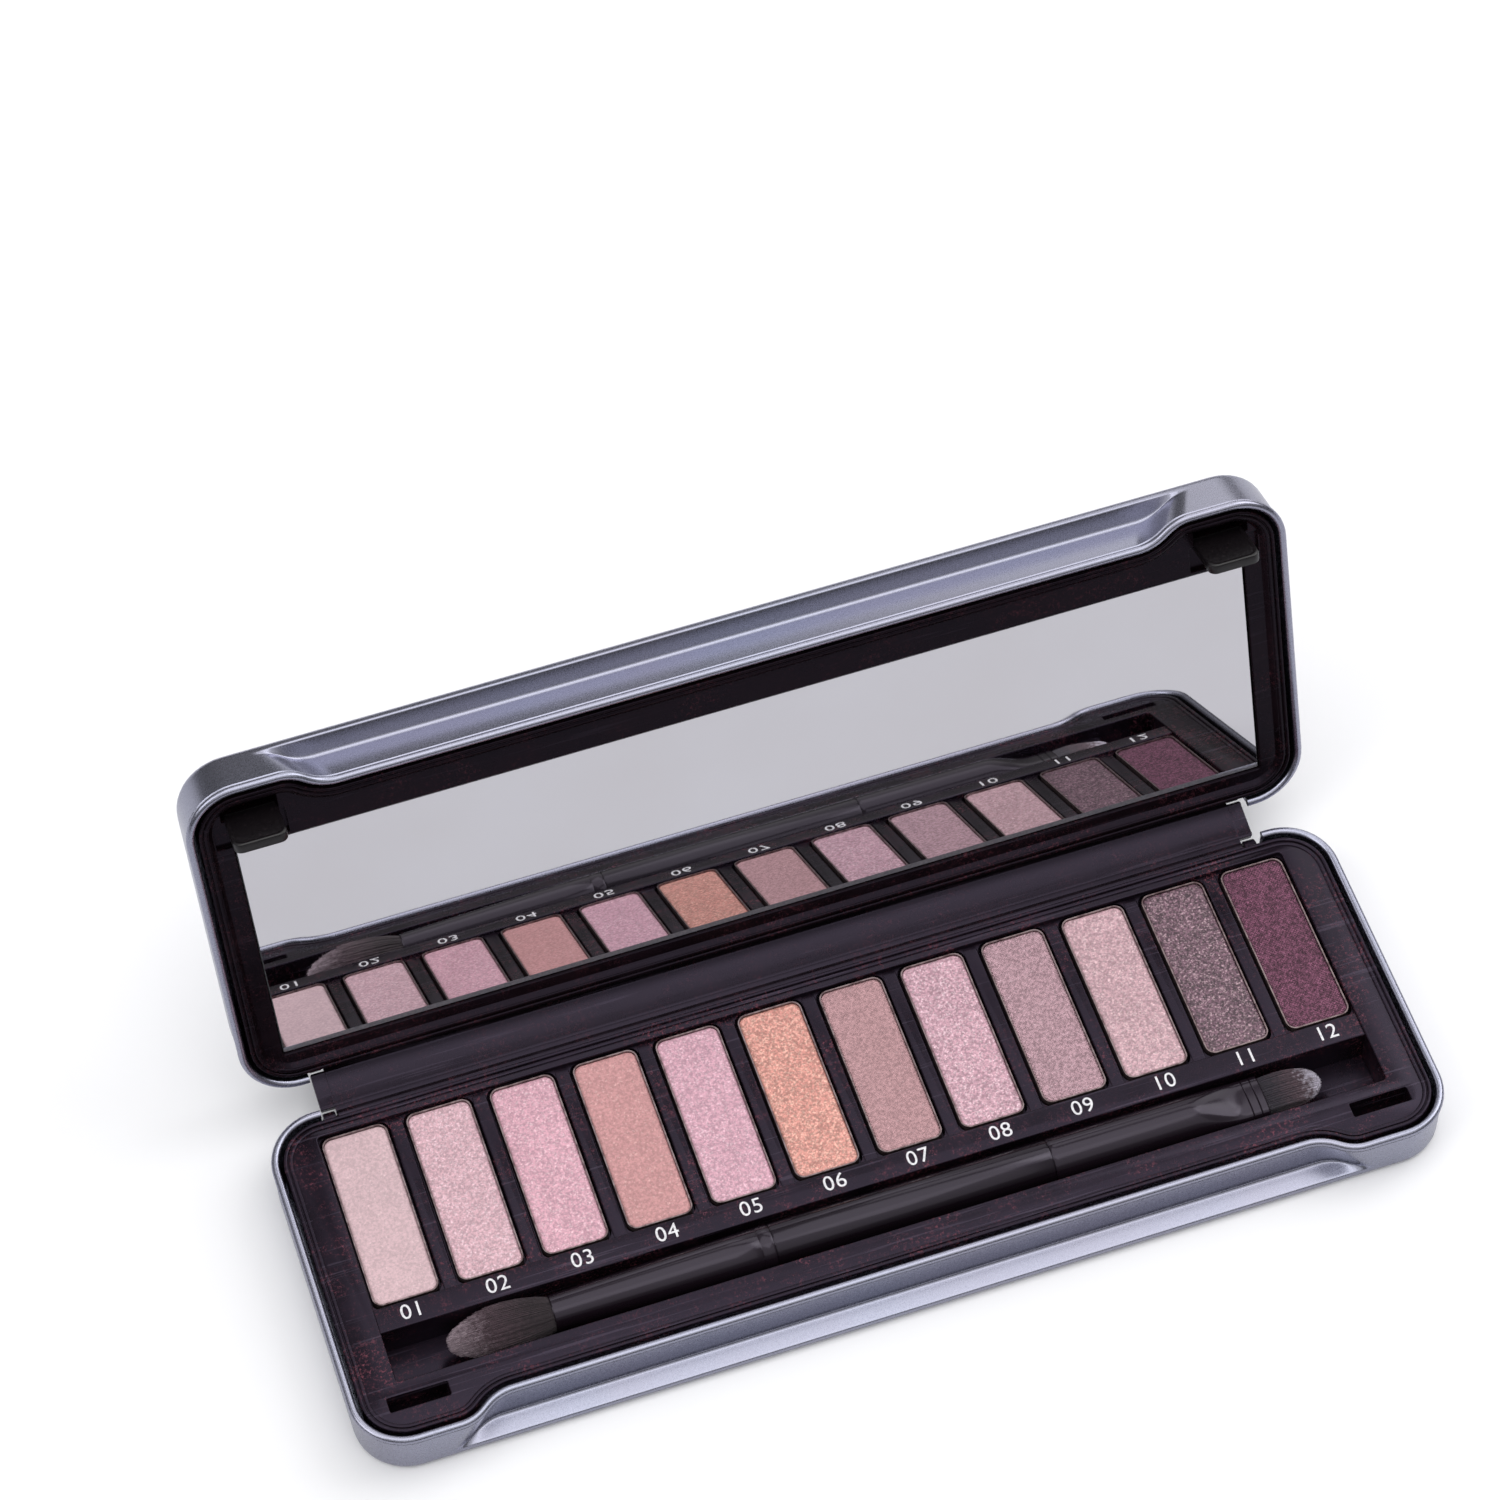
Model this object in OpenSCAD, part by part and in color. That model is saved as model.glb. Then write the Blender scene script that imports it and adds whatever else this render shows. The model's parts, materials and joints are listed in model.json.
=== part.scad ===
// Eyeshadow palette: twelve pressed powders and a two-ended brush in a hinged tin with a mirror.
// The origin is the centre of the base tin's underside. +X runs along the palette, +Y points
// to the hinge and +Z is up. The lid is drawn open, leaning back on its two-pin hinge.

/* [Tins] */
// Length of each tin over its curled rim
tin_l = 202; // [200:1:208]
// Depth of each tin, front to back, over its curled rim
tin_w = 67.8; // [67.4:0.1:70]
// Height of each tin
tin_h = 11.2; // [10.8:0.1:12]
// Thickness of the tinplate
tin_t = 0.5; // [0.3:0.05:0.6]
// Radius of the tins' upright corners
corner_r = 10; // [8:0.5:12]
// How far the middle of the front is set back
grip_inset = 3.8; // [3:0.1:4.5]
// Gap between the two rims when the palette is shut
shut_gap = 0.3; // [0.2:0.05:0.5]

/* [Pans] */
// Number of pans
pan_count = 12; // [12]
// Distance from one pan to the next
pan_pitch = 15.5; // [15.3:0.1:15.5]
// Width of a pan
pan_w = 11.95; // [11.5:0.05:12]
// Length of a pan
pan_l = 34.9; // [33:0.1:35]
// Depth of a pan
pan_h = 3.2; // [2.5:0.1:3.5]
// Place of the pans' middle, front to back
pan_y = 10.8; // [10.6:0.1:10.8]

/* [Brush] */
// Length of the brush from tip to tip
brush_l = 163; // [155:1:165]
// Diameter of the handle
handle_d = 8.3; // [7.5:0.1:8.4]
// Diameter of the round head at its fullest
head_d = 9.2; // [8.6:0.1:9.2]

/* [Hinge] */
// Distance between the two hinge pins
pin_gap = 11; // [10:0.1:11.5]
// Diameter of the hinge pins
pin_d = 1.2; // [1:0.1:1.3]
// How far the spine leans back when the palette is open
spine_lean = 75; // [40:1:75]
// How far the lid opens from the spine
lid_lean = 35; // [30:1:50]

/* [Hidden] */
two_digits = function (i) i < 10 ? str("0", i) : str(i);
$fn = 48;

// Colours of the materials
pewter = [0.60, 0.60, 0.68];
black = [0.11, 0.09, 0.12];
bright = [0.80, 0.78, 0.78];
shades = [[0.87, 0.76, 0.76], [0.84, 0.69, 0.75], [0.86, 0.71, 0.74], [0.81, 0.61, 0.61],
          [0.83, 0.68, 0.73], [0.85, 0.63, 0.55], [0.76, 0.60, 0.62], [0.82, 0.71, 0.72],
          [0.77, 0.63, 0.67], [0.80, 0.67, 0.69], [0.48, 0.38, 0.42], [0.48, 0.31, 0.40]];

// The outline of a tin: the jogs at both ends of the finger grip
jog_out = 80.8;
jog_in = 75.6;
jog_r = 8;
jog_angle = atan(grip_inset / (jog_out - jog_in));
arc_steps = 8;

// Heights in a tin that lies open side up
edge_r = 1.5;
ledge_foot = 1.6;
ledge_top = 5.8;
curl_d = 1.5;
tape_t = 0.2;
mould_z = tin_t + tape_t;
land_z = tin_h - 0.6;
bead_z = tin_h - 0.35;
mould_gap = 2.2;
bead_w = 0.9;
groove_w = 0.3;
groove_depth = 0.35;

// The middle plane between the two rims of the shut palette
part_z = tin_h + shut_gap / 2;

// The hinge: both pins lie in one upright plane when the palette is shut
hinge_y = tin_w / 2;
base_pin_z = part_z - pin_gap / 2;
lid_pin_z = part_z + pin_gap / 2;
knuckle_r = 1.5;
spine_half = 89.2;
barrel_half = 86.6;
lug_w = 2.3;
lug_x = 88.05;
pin_half = 89.4;
notch_half = pin_half + shut_gap;
run_gap = 0.05;

// The tray: pan wells, brush trough and latch slots
well_gap = 0.45;
pan_z = tin_h - 1.25 - pan_h;
glue_t = 0.15;
strip_drop = 0.4;
bar_drop = 1.0;
trough_back = -11.9;
trough_front = -21.8;
trough_half = 91;
trough_r = 6.2;
trough_y = -15.84;
trough_z = land_z - 1.7;
slot_x = 88.85;
slot_y = -25.75;
slot_l = 10.9;
slot_w = 2.75;
slot_depth = 6.3;
finger_l = 7.5;
wall = 1.2;
hollow_half = 70;
sheet = 0.25;
pan_r = 1.8;
powder_drop = 0.15;

// The lid's inner frame and the mirror, in a tin that lies open side up
border_z = tin_h - 1.6;
mirror_x = 92.9;
mirror_front = -19.9;
mirror_back = 26.9;
mirror_t = 1.8;
mirror_z = tin_h - 2.0 - mirror_t;
mirror_gap = 0.2;
mirror_tape_t = 0.4;
tab_l = 9.6;
tab_root = 2.0;
tab_tip = 1.7;
tab_taper = 2;
tab_reach = 6.4;
tab_foot = border_z - 1.5;

// The brush, along X in the trough
brush_y = -16.7;
brush_z = trough_z - 1;
head_l = 19.2;
ferrule_l = 40.4;
flat_head_l = 11.3;
flat_head_w = 7.2;
flat_head_t = 3.0;
crimp_t = 3.4;
crimp_l = 4.2;
crimp_run = 10;
spigot_r = 3.4;
spigot_l = 10;
binding_l = 6;
binding_t = 2.4;
root_r = 2.9;
root_l = 8;
handle_l = brush_l - head_l - 2 * ferrule_l - flat_head_l;
brush_x0 = -brush_l / 2;
round_x = brush_x0 + head_l;
handle_x0 = round_x + ferrule_l;
handle_x1 = handle_x0 + handle_l;
flat_x = handle_x1 + ferrule_l;

// ---- outlines ----

function unit(v) = v / norm(v);
function wrap(a) = a - 360 * floor((a + 180) / 360);
function heading(v) = atan2(v[1], v[0]);

// The points of the arc that rounds corner p, between its neighbours a and b
function corner_arc(a, p, b, r) =
    let (u = unit(a - p), v = unit(b - p), half = acos(u * v) / 2,
         c = p + unit(u + v) * r / sin(half), t = r / tan(half),
         from = heading(p + u * t - c), turn = wrap(heading(p + v * t - c) - from))
    [for (k = [0 : arc_steps]) c + r * [cos(from + turn * k / arc_steps), sin(from + turn * k / arc_steps)]];

// A closed outline from corners [x, y, radius]
function rounded(c) =
    let (n = len(c), p = [for (q = c) [q[0], q[1]]])
    [for (i = [0 : n - 1]) each corner_arc(p[(i + n - 1) % n], p[i], p[(i + 1) % n], c[i][2])];

// The tin's plain outline, moved inwards by d
function full_outline(d) =
    let (x = tin_l / 2 - d, y = tin_w / 2 - d, r = corner_r - d)
    rounded([[x, y, r], [-x, y, r], [-x, -y, r], [x, -y, r]]);

// The rim's outline with the finger grip set into its front, moved inwards by d
function rim_outline(d) =
    let (x = tin_l / 2 - d, y = tin_w / 2 - d, r = corner_r - d, slip = d * tan(jog_angle / 2),
         xo = jog_out + slip, xi = jog_in + slip, yi = -y + grip_inset)
    rounded([[x, y, r], [-x, y, r], [-x, -y, r],
             [-xo, -y, jog_r - d], [-xi, yi, jog_r + d], [xi, yi, jog_r + d], [xo, -y, jog_r - d],
             [x, -y, r]]);

module slab(outline, z0, z1) {
    translate([0, 0, z0]) linear_extrude(z1 - z0) polygon(outline);
}

// A bar along X with the given outline in Y and Z
module bar(half, outline) {
    translate([-half, 0, 0]) rotate([90, 0, 90]) linear_extrude(2 * half) polygon(outline);
}

module rod(half, r, y, z, x = 0) {
    translate([x - half, y, z]) rotate([0, 90, 0]) cylinder(h = 2 * half, r = r);
}

// A box given by its two opposite corners
module block(low, high) {
    translate(low) cube(high - low);
}

// ---- tins ----

// The tin's outside as one solid, moved inwards by d; its floor is at z = lift
module tin_block(d, lift, top) {
    steps = 4;
    for (k = [0 : steps - 1]) {
        a = 90 * (k + 0.5) / steps;
        slab(full_outline(d + edge_r * (1 - sin(a))),
             lift + (edge_r - d) * (1 - cos(90 * k / steps)), ledge_foot + lift);
    }
    slab(rim_outline(d), ledge_foot, top);
    // The sloping ledge below the finger grip
    y0 = -tin_w / 2 + d;
    sink = d * (norm([grip_inset, ledge_top - ledge_foot]) - ledge_top + ledge_foot) / grip_inset;
    intersection() {
        slab(full_outline(d), ledge_foot + lift - 0.01, ledge_top);
        bar(tin_l, [[y0, ledge_foot - sink], [y0 + grip_inset, ledge_top - sink],
                    [tin_w, ledge_top - sink], [tin_w, ledge_foot - sink - 1], [y0, ledge_foot - sink - 1]]);
    }
}

// A stamped tin, open side up, with its curled rim and the notch for the hinge
module tin() {
    difference() {
        union() {
            difference() {
                tin_block(0, 0, tin_h - curl_d / 2);
                tin_block(tin_t, tin_t, tin_h);
            }
            rim_curl();
        }
        block([-notch_half, tin_w / 2 - 3, base_pin_z - knuckle_r - 0.3], [notch_half, tin_w, tin_h + 1]);
    }
}

module rim_curl() {
    cut = 0.3 * curl_d;
    difference() {
        union() {
            slab(rim_outline(cut), tin_h - curl_d, tin_h);
            slab(rim_outline(0), tin_h - curl_d + cut, tin_h - cut);
        }
        slab(rim_outline(curl_d - cut), tin_h - curl_d - 1, tin_h + 1);
        slab(rim_outline(curl_d), tin_h - curl_d + cut, tin_h - cut);
    }
}

// ---- black mouldings ----

// The outer body of a moulding: land, groove and raised bead round the border
module moulding(top) {
    difference() {
        slab(rim_outline(mould_gap), mould_z, bead_z);
        slab(rim_outline(mould_gap + bead_w), land_z - groove_depth, bead_z + 1);
    }
    slab(rim_outline(mould_gap + bead_w + groove_w), mould_z, top);
}

// Two lugs behind a moulding that hold the ends of its hinge pin
module hinge_lugs() {
    for (x = [-lug_x, lug_x]) {
        rod(lug_w / 2, knuckle_r, hinge_y, base_pin_z, x);
        block([x - lug_w / 2, tin_w / 2 - mould_gap - wall, base_pin_z - knuckle_r],
              [x + lug_w / 2, hinge_y, base_pin_z + knuckle_r]);
    }
}

module hinge_pin_hole() {
    rod(pin_half, pin_d / 2, hinge_y, base_pin_z);
}

module pan_block(i, grow, z0, z1, r) {
    x = (i - (pan_count + 1) / 2) * pan_pitch;
    dx = pan_w / 2 + grow;
    dy = pan_l / 2 + grow;
    slab(rounded([[x + dx, pan_y + dy, r], [x - dx, pan_y + dy, r],
                  [x - dx, pan_y - dy, r], [x + dx, pan_y - dy, r]]), z0, z1);
}

module trough_cut() {
    // Round-bottomed trough with a straight back wall, and a deeper finger well at each end
    intersection() {
        union() {
            rod(trough_half, trough_r, trough_y, trough_z);
            block([-trough_half, trough_front, trough_z], [trough_half, 0, tin_h + 1]);
        }
        block([-trough_half, trough_front, 0], [trough_half, trough_back, tin_h + 1]);
    }
    for (x = [-trough_half, trough_half - finger_l])
        block([x, trough_front, trough_z - trough_r], [x + finger_l, trough_back, tin_h + 1]);
}

// The hollow behind the finger grip, under a land at height top that ends at y
module front_hollow(y, top) {
    block([-hollow_half, -tin_w / 2 + grip_inset + mould_gap + wall, 0], [hollow_half, y - wall, top - wall]);
}

module tray_hollows() {
    // Hollow underside: below the pans, beside them and under the front land
    half = pan_count * pan_pitch / 2;
    under = pan_z - glue_t - wall;
    side_w = 4;
    side_l = 36;
    block([-half, trough_back + wall, 0], [half, pan_y + pan_l / 2 + 1, under]);
    for (x = [-trough_half - 1.5 - side_w, trough_half + 1.5])
        block([x, trough_back, 0], [x + side_w, trough_back + side_l, land_z - wall]);
    front_hollow(trough_front, land_z);
}

module tray() {
    color(black) difference() {
        union() {
            moulding(land_z);
            hinge_lugs();
        }
        for (i = [1 : pan_count]) pan_block(i, well_gap, pan_z - glue_t, tin_h + 1, 2);
        // The bars between the wells and the strip in front of them lie a little lower
        edge = pan_count * pan_pitch / 2 - 1.5;
        block([-edge, pan_y - pan_l / 2, land_z - bar_drop], [edge, pan_y + pan_l / 2, tin_h + 1]);
        block([-trough_half, trough_back - 0.01, land_z - strip_drop],
              [trough_half, pan_y - pan_l / 2 + 0.01, tin_h + 1]);
        trough_cut();
        for (s = [-1, 1])
            block([s * slot_x - slot_l / 2, slot_y - slot_w / 2, land_z - slot_depth],
                  [s * slot_x + slot_l / 2, slot_y + slot_w / 2, tin_h + 1]);
        tray_hollows();
        hinge_pin_hole();
    }
}

module lid_frame_up() {
    difference() {
        union() {
            moulding(border_z);
            hinge_lugs();
        }
        // Seat of the mirror
        block([-mirror_x - mirror_gap, mirror_front - mirror_gap, mirror_z - mirror_tape_t],
              [mirror_x + mirror_gap, mirror_back + mirror_gap, tin_h + 1]);
        // Pockets round the latch tabs
        for (s = [-1, 1])
            block([s * slot_x - tab_l / 2, slot_y - tab_root / 2, tab_foot],
                  [s * slot_x + tab_l / 2, slot_y + tab_root / 2, tin_h + 1]);
        // Hollow underside
        block([-mirror_x, mirror_front, 0], [mirror_x, mirror_back, mirror_z - mirror_tape_t - wall]);
        front_hollow(mirror_front, border_z);
        hinge_pin_hole();
    }
}

// Strips of double-sided tape between a tin's floor and its moulding
module tape_strips() {
    long_w = 1.4;
    short_w = 2.4;
    for (y = [-24.4, 29.2])
        block([-hollow_half, y - long_w / 2, tin_t], [hollow_half, y + long_w / 2, mould_z]);
    for (x = [-97, 97])
        block([x - short_w / 2, -10, tin_t], [x + short_w / 2, 20, mould_z]);
}

module latch_tab_up(s) {
    color(black) translate([s * slot_x, slot_y, 0]) rotate([90, 0, 90])
        translate([0, 0, -tab_l / 2]) linear_extrude(tab_l)
            polygon([[-tab_root / 2, tab_foot], [tab_root / 2, tab_foot],
                     [tab_root / 2, tin_h + tab_reach - tab_taper], [tab_tip / 2, tin_h + tab_reach],
                     [-tab_tip / 2, tin_h + tab_reach], [-tab_root / 2, tin_h + tab_reach - tab_taper]]);
}

// ---- where the moving pieces stand ----

// Turns a piece about the lower pin by the spine's lean
module on_spine() {
    translate([0, hinge_y, base_pin_z]) rotate([-spine_lean, 0, 0])
        translate([0, -hinge_y, -base_pin_z]) children();
}

// Turns a tin-side-up piece over, shuts it on the base and opens it to its rest
module on_lid() {
    on_spine() translate([0, hinge_y, lid_pin_z]) rotate([-lid_lean, 0, 0])
        translate([0, -hinge_y, -lid_pin_z]) translate([0, 0, 2 * part_z]) mirror([0, 0, 1]) children();
}

// ---- sub-parts of the base ----

module base_tin() {
    color(pewter) tin();
}

module base_tape() {
    color(bright) tape_strips();
}

// A spot of glue under each pan
module pan_glue() {
    spot_d = 8;
    color(bright) for (i = [1 : pan_count])
        translate([(i - (pan_count + 1) / 2) * pan_pitch, pan_y, pan_z - glue_t])
            cylinder(h = glue_t, d = spot_d);
}

module pan(i) {
    color(bright) difference() {
        pan_block(i, 0, pan_z, pan_z + pan_h, pan_r);
        pan_block(i, -sheet, pan_z + sheet, pan_z + pan_h + 1, pan_r - sheet);
    }
}

module powder(i) {
    color(shades[i - 1]) pan_block(i, -sheet, pan_z + sheet, pan_z + pan_h - powder_drop, pan_r - sheet);
}

module base_hinge_pin() {
    color(bright) hinge_pin_hole();
}

// ---- the spine between the two tins ----

module spine() {
    plate_t = 1.5;
    color(black) on_spine() difference() {
        union() {
            block([-barrel_half, hinge_y - plate_t / 2, base_pin_z],
                  [barrel_half, hinge_y + plate_t / 2, lid_pin_z]);
            block([-spine_half, hinge_y - plate_t / 2, base_pin_z + knuckle_r + 0.5],
                  [spine_half, hinge_y + plate_t / 2, lid_pin_z - knuckle_r - 0.5]);
            rod(barrel_half, knuckle_r, hinge_y, base_pin_z);
            rod(barrel_half, knuckle_r, hinge_y, lid_pin_z);
        }
        for (z = [base_pin_z, lid_pin_z]) rod(spine_half, pin_d / 2 + run_gap, hinge_y, z);
    }
}

// ---- sub-parts of the lid ----

module lid_hinge_pin() {
    color(bright) on_lid() hinge_pin_hole();
}

module lid_tin() {
    color(pewter) on_lid() tin();
}

module lid_tape() {
    color(bright) on_lid() tape_strips();
}

module lid_frame() {
    color(black) on_lid() lid_frame_up();
}

module mirror_glass() {
    color([0.85, 0.87, 0.9]) on_lid()
        block([-mirror_x, mirror_front, mirror_z], [mirror_x, mirror_back, mirror_z + mirror_t]);
}

module mirror_tape() {
    color(black) on_lid()
        block([-mirror_x + 3, mirror_front + 3, mirror_z - mirror_tape_t],
              [mirror_x - 3, mirror_back - 3, mirror_z]);
}

module latch_tab(s) {
    on_lid() latch_tab_up(s);
}

// ---- the brush ----

// Places a shape drawn along +Z from its own zero at x along the brush
module along_brush(x) {
    translate([x, brush_y, brush_z]) rotate([0, 90, 0]) children();
}

module brush_handle() {
    color(black) {
        along_brush(handle_x0) cylinder(h = handle_l, d = handle_d);
        along_brush(handle_x0 - spigot_l) cylinder(h = handle_l + 2 * spigot_l, r = spigot_r);
    }
}

module round_ferrule() {
    color(black) difference() {
        along_brush(round_x) cylinder(h = ferrule_l, d1 = 2 * root_r + 0.8, d2 = handle_d);
        along_brush(handle_x0 - spigot_l) cylinder(h = spigot_l + 1, r = spigot_r);
        along_brush(round_x - 1) cylinder(h = root_l + 1, r = root_r);
    }
}

module flat_ferrule() {
    round_run = ferrule_l - crimp_l - crimp_run;
    color(black) difference() {
        intersection() {
            along_brush(handle_x1) cylinder(h = ferrule_l, d = handle_d);
            // Seen from the side, the tube narrows to the flat crimp
            translate([handle_x1, brush_y + handle_d, brush_z]) rotate([90, 0, 0])
                linear_extrude(2 * handle_d)
                    polygon([[-1, -handle_d], [-1, handle_d],
                             [round_run, handle_d / 2], [round_run + crimp_run, crimp_t / 2],
                             [ferrule_l + 1, crimp_t / 2], [ferrule_l + 1, -crimp_t / 2],
                             [round_run + crimp_run, -crimp_t / 2], [round_run, -handle_d / 2]]);
        }
        along_brush(handle_x1 - 1) cylinder(h = spigot_l + 1, r = spigot_r);
        block([flat_x - binding_l, brush_y - flat_head_w / 2, brush_z - binding_t / 2],
              [flat_x + 1, brush_y + flat_head_w / 2, brush_z + binding_t / 2]);
    }
}

// The round head: bound in the ferrule, widening to a soft dome
module round_bristles() {
    dome_l = 6;
    full = head_d / 2;
    color([0.3, 0.2, 0.24]) {
        along_brush(round_x - 3) cylinder(h = root_l + 3, r = root_r);
        translate([round_x, brush_y, brush_z]) rotate([0, -90, 0]) rotate_extrude()
            polygon(concat([[0, 0], [root_r + 0.2, 0], [full - 0.5, 7], [full, head_l - dome_l]],
                           [for (a = [15 : 15 : 90]) [full * cos(a), head_l - dome_l + dome_l * sin(a)]]));
    }
}

// The flat head: a thin tongue with a rounded end
module flat_bristles() {
    color([0.3, 0.22, 0.28]) {
        block([flat_x - binding_l, brush_y - flat_head_w / 2, brush_z - binding_t / 2],
              [flat_x, brush_y + flat_head_w / 2, brush_z + binding_t / 2]);
        intersection() {
            translate([flat_x, brush_y, brush_z - flat_head_t / 2]) linear_extrude(flat_head_t)
                union() {
                    translate([0, -flat_head_w / 2]) square([flat_head_l - flat_head_w / 2, flat_head_w]);
                    translate([flat_head_l - flat_head_w / 2, 0]) circle(d = flat_head_w);
                }
            translate([flat_x, brush_y + flat_head_w, brush_z]) rotate([90, 0, 0])
                linear_extrude(2 * flat_head_w)
                    polygon([[0, -binding_t / 2], [0, binding_t / 2], [flat_head_l * 0.6, flat_head_t / 2],
                             [flat_head_l + 1, 0.6], [flat_head_l + 1, -0.6],
                             [flat_head_l * 0.6, -flat_head_t / 2]]);
        }
    }
}

base_tin();
base_tape();
tray();
pan_glue();
for (i = [1 : pan_count]) {
    pan(i);
    powder(i);
}
spine();
base_hinge_pin();
lid_hinge_pin();
lid_tin();
lid_tape();
lid_frame();
mirror_glass();  // mirror
mirror_tape();
latch_tab(-1);  // latch_tab_left
latch_tab(1);  // latch_tab_right
brush_handle();
round_ferrule();
flat_ferrule();
round_bristles();
flat_bristles();
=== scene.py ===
import bmesh
import bpy
import json
import math
import numpy as np
from mathutils import Matrix, Vector
from mathutils.geometry import tessellate_polygon


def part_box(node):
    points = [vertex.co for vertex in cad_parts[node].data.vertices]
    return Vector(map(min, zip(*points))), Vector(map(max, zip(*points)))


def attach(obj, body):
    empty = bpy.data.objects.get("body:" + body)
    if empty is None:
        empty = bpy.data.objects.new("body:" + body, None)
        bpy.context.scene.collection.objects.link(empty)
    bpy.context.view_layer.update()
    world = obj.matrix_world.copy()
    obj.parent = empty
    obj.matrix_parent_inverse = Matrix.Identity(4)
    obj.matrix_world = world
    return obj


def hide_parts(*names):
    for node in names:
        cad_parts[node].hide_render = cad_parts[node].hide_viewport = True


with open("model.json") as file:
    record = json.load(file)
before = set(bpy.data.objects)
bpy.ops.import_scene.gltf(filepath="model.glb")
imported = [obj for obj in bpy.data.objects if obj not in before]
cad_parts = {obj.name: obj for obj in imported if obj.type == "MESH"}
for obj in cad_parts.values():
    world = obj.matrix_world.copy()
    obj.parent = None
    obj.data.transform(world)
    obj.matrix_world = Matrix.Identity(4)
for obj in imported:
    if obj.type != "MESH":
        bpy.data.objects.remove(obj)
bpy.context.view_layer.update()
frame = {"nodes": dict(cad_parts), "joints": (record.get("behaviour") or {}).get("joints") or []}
nodes = frame["nodes"]
print("frame loaded:", len(nodes), "nodes")

mm = 0.001
rng = np.random.default_rng(12)


def boxMm(nodeName):
    low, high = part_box(nodeName)
    return np.array(low) / mm, np.array(high) / mm


# places taken from the frame, in mm
tinHalf, tinDeep, tinTall = boxMm("base_tin")[1]
joints = {j["name"]: j for j in frame["joints"]}
basePin = np.array(joints["spine_hinge"]["pos_m"]) / mm
lidPin = np.array(joints["lid_hinge"]["pos_m"]) / mm
spineLean = math.radians(joints["spine_hinge"]["range_deg"][1])
lidLean = math.radians(joints["lid_hinge"]["range_deg"][1])
pinGap = float(np.linalg.norm(lidPin - basePin))
pinEnd = boxMm("base_hinge_pin")[1][0]
partZ = basePin[2] + pinGap / 2   # the plane between the two rims when the palette is shut


def turnX(points, angle, y, z):
    # turns points about the line through (y, z) along X
    c, s = math.cos(angle), math.sin(angle)
    out = np.array(points, float)
    dy, dz = points[..., 1] - y, points[..., 2] - z
    out[..., 1] = y + c * dy - s * dz
    out[..., 2] = z + s * dy + c * dz
    return out


def onSpine(points):
    return turnX(np.asarray(points, float), -spineLean, basePin[1], basePin[2])


def onLid(points):
    # a tin drawn open side up is turned over, shut on the base, then opened to its rest
    shut = np.array(points, float)
    shut[..., 2] = 2 * partZ - shut[..., 2]
    shut = turnX(shut, -lidLean, basePin[1], basePin[2] + pinGap)
    return onSpine(shut)


def offLid(points):
    # the way back from the open lid to a tin that lies open side up
    shut = turnX(np.asarray(points, float), spineLean, basePin[1], basePin[2])
    shut = turnX(shut, lidLean, basePin[1], basePin[2] + pinGap)
    shut[..., 2] = 2 * partZ - shut[..., 2]
    return shut


def lidBox(nodeName):
    # the box of a lid node, with its tin laid open side up
    points = offLid(np.array([v.co for v in nodes[nodeName].data.vertices], float) / mm)
    return points.min(0), points.max(0)


class Shell:
    # collects vertices in mm and faces of one piece, then makes one Blender mesh of them

    def __init__(self):
        self.points, self.faces, self.count = [], [], 0

    def add(self, points, faces):
        # faces is a whole-number array with one face a row
        self.points.append(np.asarray(points, float).reshape(-1, 3))
        self.faces.append(np.asarray(faces) + self.count)
        self.count += len(self.points[-1])

    def grid(self, rows, closed=True, capStart=False, capEnd=False):
        # rows is (m, n, 3): quads join each row to the next, and closed rows join their own ends
        m, n = rows.shape[:2]
        i, j = np.meshgrid(np.arange(m - 1), np.arange(n if closed else n - 1), indexing="ij")
        k = (j + 1) % n
        quads = np.stack([i * n + j, i * n + k, (i + 1) * n + k, (i + 1) * n + j], -1).reshape(-1, 4)
        start = self.count
        self.add(rows, quads)
        if capStart:
            self.faces.append(start + np.arange(n)[None, ::-1])
        if capEnd:
            self.faces.append(start + (m - 1) * n + np.arange(n)[None])

    def plate(self, loops, z):
        # flat face at height z with loops[0] as its outside and the others as holes
        flat = [raised(loop, z) for loop in loops]
        triangles = np.array(tessellate_polygon([[Vector(p) for p in loop] for loop in flat]))
        points = np.vstack(flat)
        a, b, c = (points[triangles[:, k], :2] for k in range(3))
        area = (b - a)[:, 0] * (c - a)[:, 1] - (b - a)[:, 1] * (c - a)[:, 0]
        triangles = np.where(area[:, None] > 0, triangles, triangles[:, [0, 2, 1]])
        self.add(points, triangles[np.abs(area) > 1e-9])

    def make(self, name, place=None, flip=False, sharp=40, weld=0.002):
        points = np.vstack(self.points)
        if place is not None:
            points = place(points)
        faces = [face for block in self.faces for face in block[:, ::-1 if flip else 1].tolist()]
        mesh = bpy.data.meshes.new(name)
        mesh.from_pydata((points * mm).tolist(), [], faces)
        if weld:
            weldMesh(mesh, weld * mm)
        piece = newObject(name, mesh)
        smoothMesh(mesh, sharp)
        return piece


def newObject(name, data):
    made = bpy.data.objects.new(name, data)
    bpy.context.scene.collection.objects.link(made)
    return made


def smoothMesh(mesh, sharp):
    mesh.shade_smooth()
    mesh.set_sharp_from_angle(angle=math.radians(sharp))


def weldMesh(mesh, distance):
    work = bmesh.new()
    work.from_mesh(mesh)
    bmesh.ops.remove_doubles(work, verts=work.verts, dist=distance)
    bmesh.ops.dissolve_degenerate(work, edges=work.edges, dist=distance / 4)
    work.to_mesh(mesh)
    work.free()


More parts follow.
